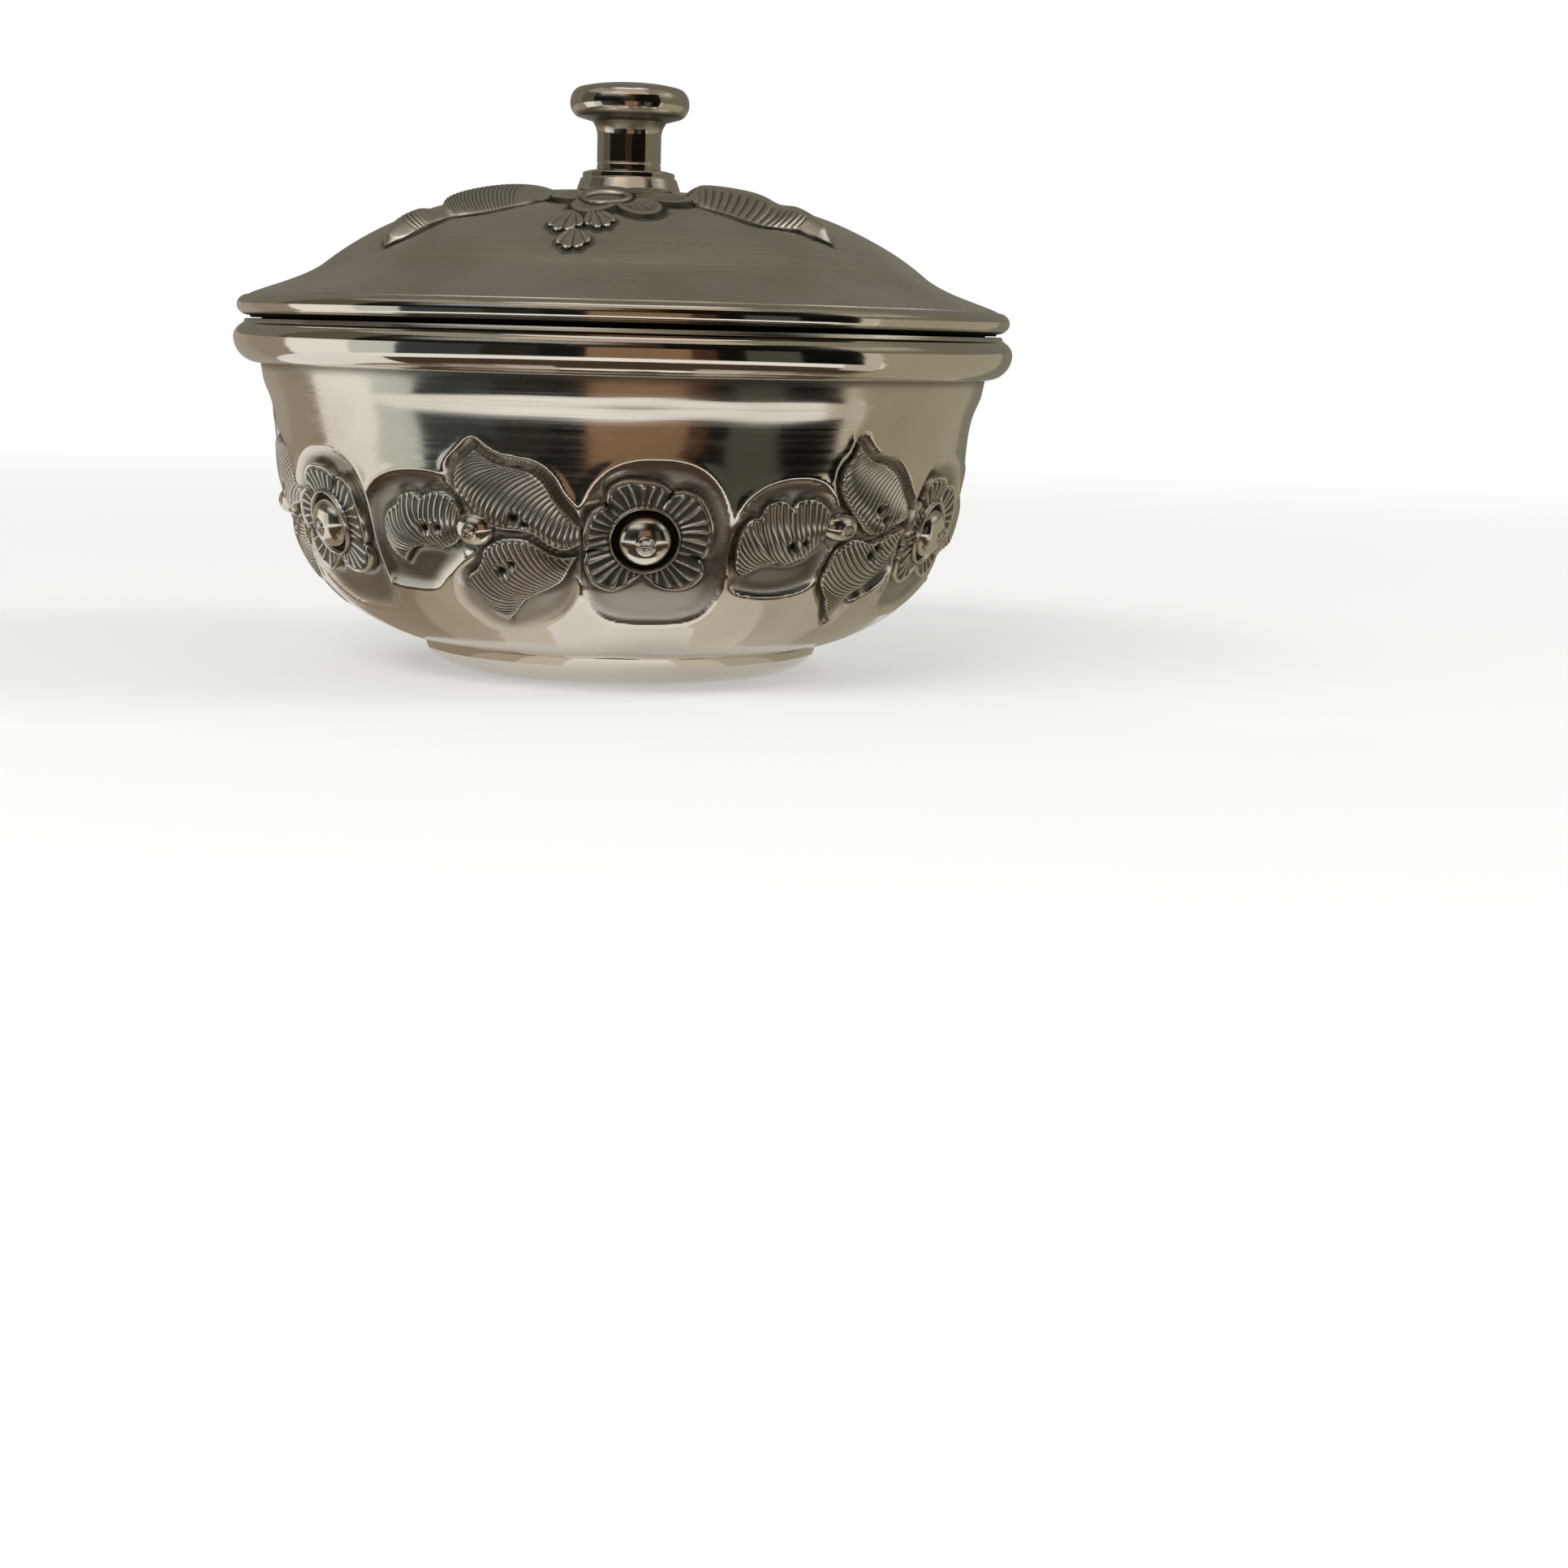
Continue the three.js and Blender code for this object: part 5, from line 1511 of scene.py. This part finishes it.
class SILVERBOX_OT_stage(bpy.types.Operator):
    """Set the camera, the pale floor, the soft lamps and the cards that silver reflects"""

    bl_idname = "silver_box.stage"
    bl_label = "Camera and Studio"

    def execute(self, context):
        studio, scene = context.scene.silver_box_studio, context.scene
        scene.view_settings.view_transform = "Standard"
        camera(studio)
        scene.world = bpy.data.worlds.new("studio")
        room(scene.world, studio.world_level)
        floor_board(studio.floor)
        lamp("key_lamp", (-0.45, -0.65, 0.62), (0.9, 0.3), studio.key_power)
        lamp("fill_lamp", (0.85, -0.1, 0.6), (0.5, 0.3), studio.fill_power)
        for index, (start, end, line, tone) in enumerate(CARDS):
            turns = np.radians(np.linspace(start, end, 9 + abs(end - start) // 8))
            card(f"side_card_{index + 1}",
                 np.array([round_axis(r, turns, z) for r, z in LINES[line]]), tone)
        half, level = 3.5, 0.8
        corners = [[(x, y, level) for x in (-half, half)] for y in (-half, half)]
        card("ceiling_card", np.array(corners), studio.ceiling)
        return {"FINISHED"}


def length(label, about, value):
    """A size in metres for the panel."""
    return bpy.props.FloatProperty(name=label, description=about, default=value, min=0,
                                   unit="LENGTH", subtype="DISTANCE", precision=5)


def number(label, about, value, **more):
    """A number for the panel, with its unit or its least value."""
    return bpy.props.FloatProperty(name=label, description=about, default=value, **more)


def colour(label, about, code):
    """A colour for the panel, from its sRGB hex value."""
    return bpy.props.FloatVectorProperty(name=label, description=about, size=3, min=0, max=1,
                                         default=linear(code), subtype="COLOR")


class SilverBoxSizes(bpy.types.PropertyGroup):
    """Sizes of the box, the same as its CAD model's."""

    seam_height: length("Seam Height", "Where the lid meets the bowl", 0.0462)
    mouth_radius: length("Mouth Radius", "Outside of the bowl's lip", 0.0489)
    waist_inset: length("Waist Inset", "How far the wall draws in below the lip", 0.0023)
    waist_below_seam: length("Waist Below Seam", "Where the wall is drawn in most", 0.0184)
    bowl_rim_depth: length("Rim Depth", "From the seam to the moulding's foot", 0.0059)
    bowl_rim_over: length("Rim Over Belly", "From the moulding's belly to its top", 0.0024)
    bowl_rim_width: length("Rim Width", "How far the moulding stands out", 0.0035)
    foot_radius: length("Foot Radius", "Outside of the foot", 0.027)
    foot_height: length("Foot Height", "From the table to the bowl's base", 0.0039)
    sheet: length("Sheet", "Thickness of the silvered sheet", 0.0009)
    lid_overhang: length("Lid Overhang", "How far the lid's edge passes the lip", 0.0014)
    lid_rim_width: length("Lid Wire Width", "How far the lid's wire stands out", 0.0016)
    flange_height: length("Flange Height", "From the seam to the lid's edge", 0.0032)
    flange_width: length("Flange Width", "From the lid's edge to the dome", 0.0099)
    dome_foot_height: length("Dome Foot", "From the seam to the foot of the dome", 0.0075)
    dome_height: length("Dome Height", "From the seam to the top of the dome", 0.0178)
    stem_radius: length("Stem Radius", "Radius of the knob's stem", 0.0043)
    stem_height: length("Stem Height", "From the collar to the head", 0.0064)
    head_radius: length("Head Radius", "Radius of the knob's head", 0.008)
    dish_depth: length("Dish Depth", "How far the ground round the ornament is sunk", 0.00095)
    leaf_relief: length("Leaf Relief", "How far the bowl's leaves pass the wall", 0.00035)
    lid_relief: length("Lid Relief", "How far the lid's leaves rise", 0.0018)
    hatch_pitch: length("Chasing Pitch", "From one chased line to the next", 0.0006)


class SilverBoxColours(bpy.types.PropertyGroup):
    """Colours of the metals."""

    plate: colour("Silver Plate", "Bright buffed silver", "#E2DCD1")
    tarnish: colour("Tarnish", "Thin brown tarnish", "#A89A82")
    # The colour of the painted shade in grooves, dishes, seams and under overhangs.
    oxide: colour("Oxide", "Dark left in the recesses", "#241C14")
    brass: colour("Brass", "The screw that holds the knob", "#D9C294")


class SilverBoxStudio(bpy.types.PropertyGroup):
    """The camera and the lamps."""

    lens: number("Lens", "Focal length in millimetres", 63.354, min=1)
    camera_place: bpy.props.FloatVectorProperty(
        name="Camera", description="Where the camera is", size=3, subtype="TRANSLATION",
        unit="LENGTH", default=(0.0, -0.38117, 0.04624))
    yaw: number("Yaw", "How far the camera looks right", 0.0606, unit="ROTATION")
    pitch: number("Pitch", "How far the camera looks down", 0.1627, unit="ROTATION")
    roll: number("Roll", "How far the camera leans", 0.0262, unit="ROTATION")
    world_level: number("Room Light", "Even light from all round", 0.5, min=0)
    key_power: number("Key Lamp", "Watts of the lamp at the front left", 7.0, min=0, unit="POWER")
    fill_power: number("Fill Lamp", "Watts of the lamp at the right", 4.0, min=0, unit="POWER")
    ceiling: bpy.props.StringProperty(name="Ceiling Tone", default="#736F66",
                                      description="Tone of the card over the box, as sRGB hex")
    floor: colour("Floor", "The pale board that the box stands on", "#F2F0EC")


class SILVERBOX_PT_panel(bpy.types.Panel):
    """The sizes, colours and steps of the box"""

    bl_label = "Silver Box"
    bl_idname = "SILVERBOX_PT_panel"
    bl_space_type = "VIEW_3D"
    bl_region_type = "UI"
    bl_category = "Silver Box"

    def draw(self, context):
        layout = self.layout
        for group in GROUPS:
            values = getattr(context.scene, group)
            box = layout.box()
            for name in values.bl_rna.properties.keys():
                if name not in ("name", "rna_type"):
                    box.prop(values, name)
        for step in STEPS:
            layout.operator(step.bl_idname)


GROUPS = {
    "silver_box_sizes": SilverBoxSizes,
    "silver_box_colours": SilverBoxColours,
    "silver_box_studio": SilverBoxStudio,
}
STEPS = (
    SILVERBOX_OT_bowl_wall,
    SILVERBOX_OT_bowl_mouldings,
    SILVERBOX_OT_bowl_flowers,
    SILVERBOX_OT_bowl_leaves,
    SILVERBOX_OT_lid_dome,
    SILVERBOX_OT_lid_edge,
    SILVERBOX_OT_lid_ornament,
    SILVERBOX_OT_knob,
    SILVERBOX_OT_fixing,
    SILVERBOX_OT_stage,
)


def register():
    """Makes the add-on's classes and properties known."""
    for item in (*GROUPS.values(), *STEPS, SILVERBOX_PT_panel):
        bpy.utils.register_class(item)
    for name, group in GROUPS.items():
        setattr(bpy.types.Scene, name, bpy.props.PointerProperty(type=group))


def unregister():
    """Takes them away again."""
    for name in GROUPS:
        delattr(bpy.types.Scene, name)
    for item in reversed((*GROUPS.values(), *STEPS, SILVERBOX_PT_panel)):
        bpy.utils.unregister_class(item)


def main():
    """Builds the box step by step."""
    register()
    for step in STEPS:
        group, name = step.bl_idname.split(".")
        getattr(getattr(bpy.ops, group), name)()


if __name__ == "__main__":
    main()
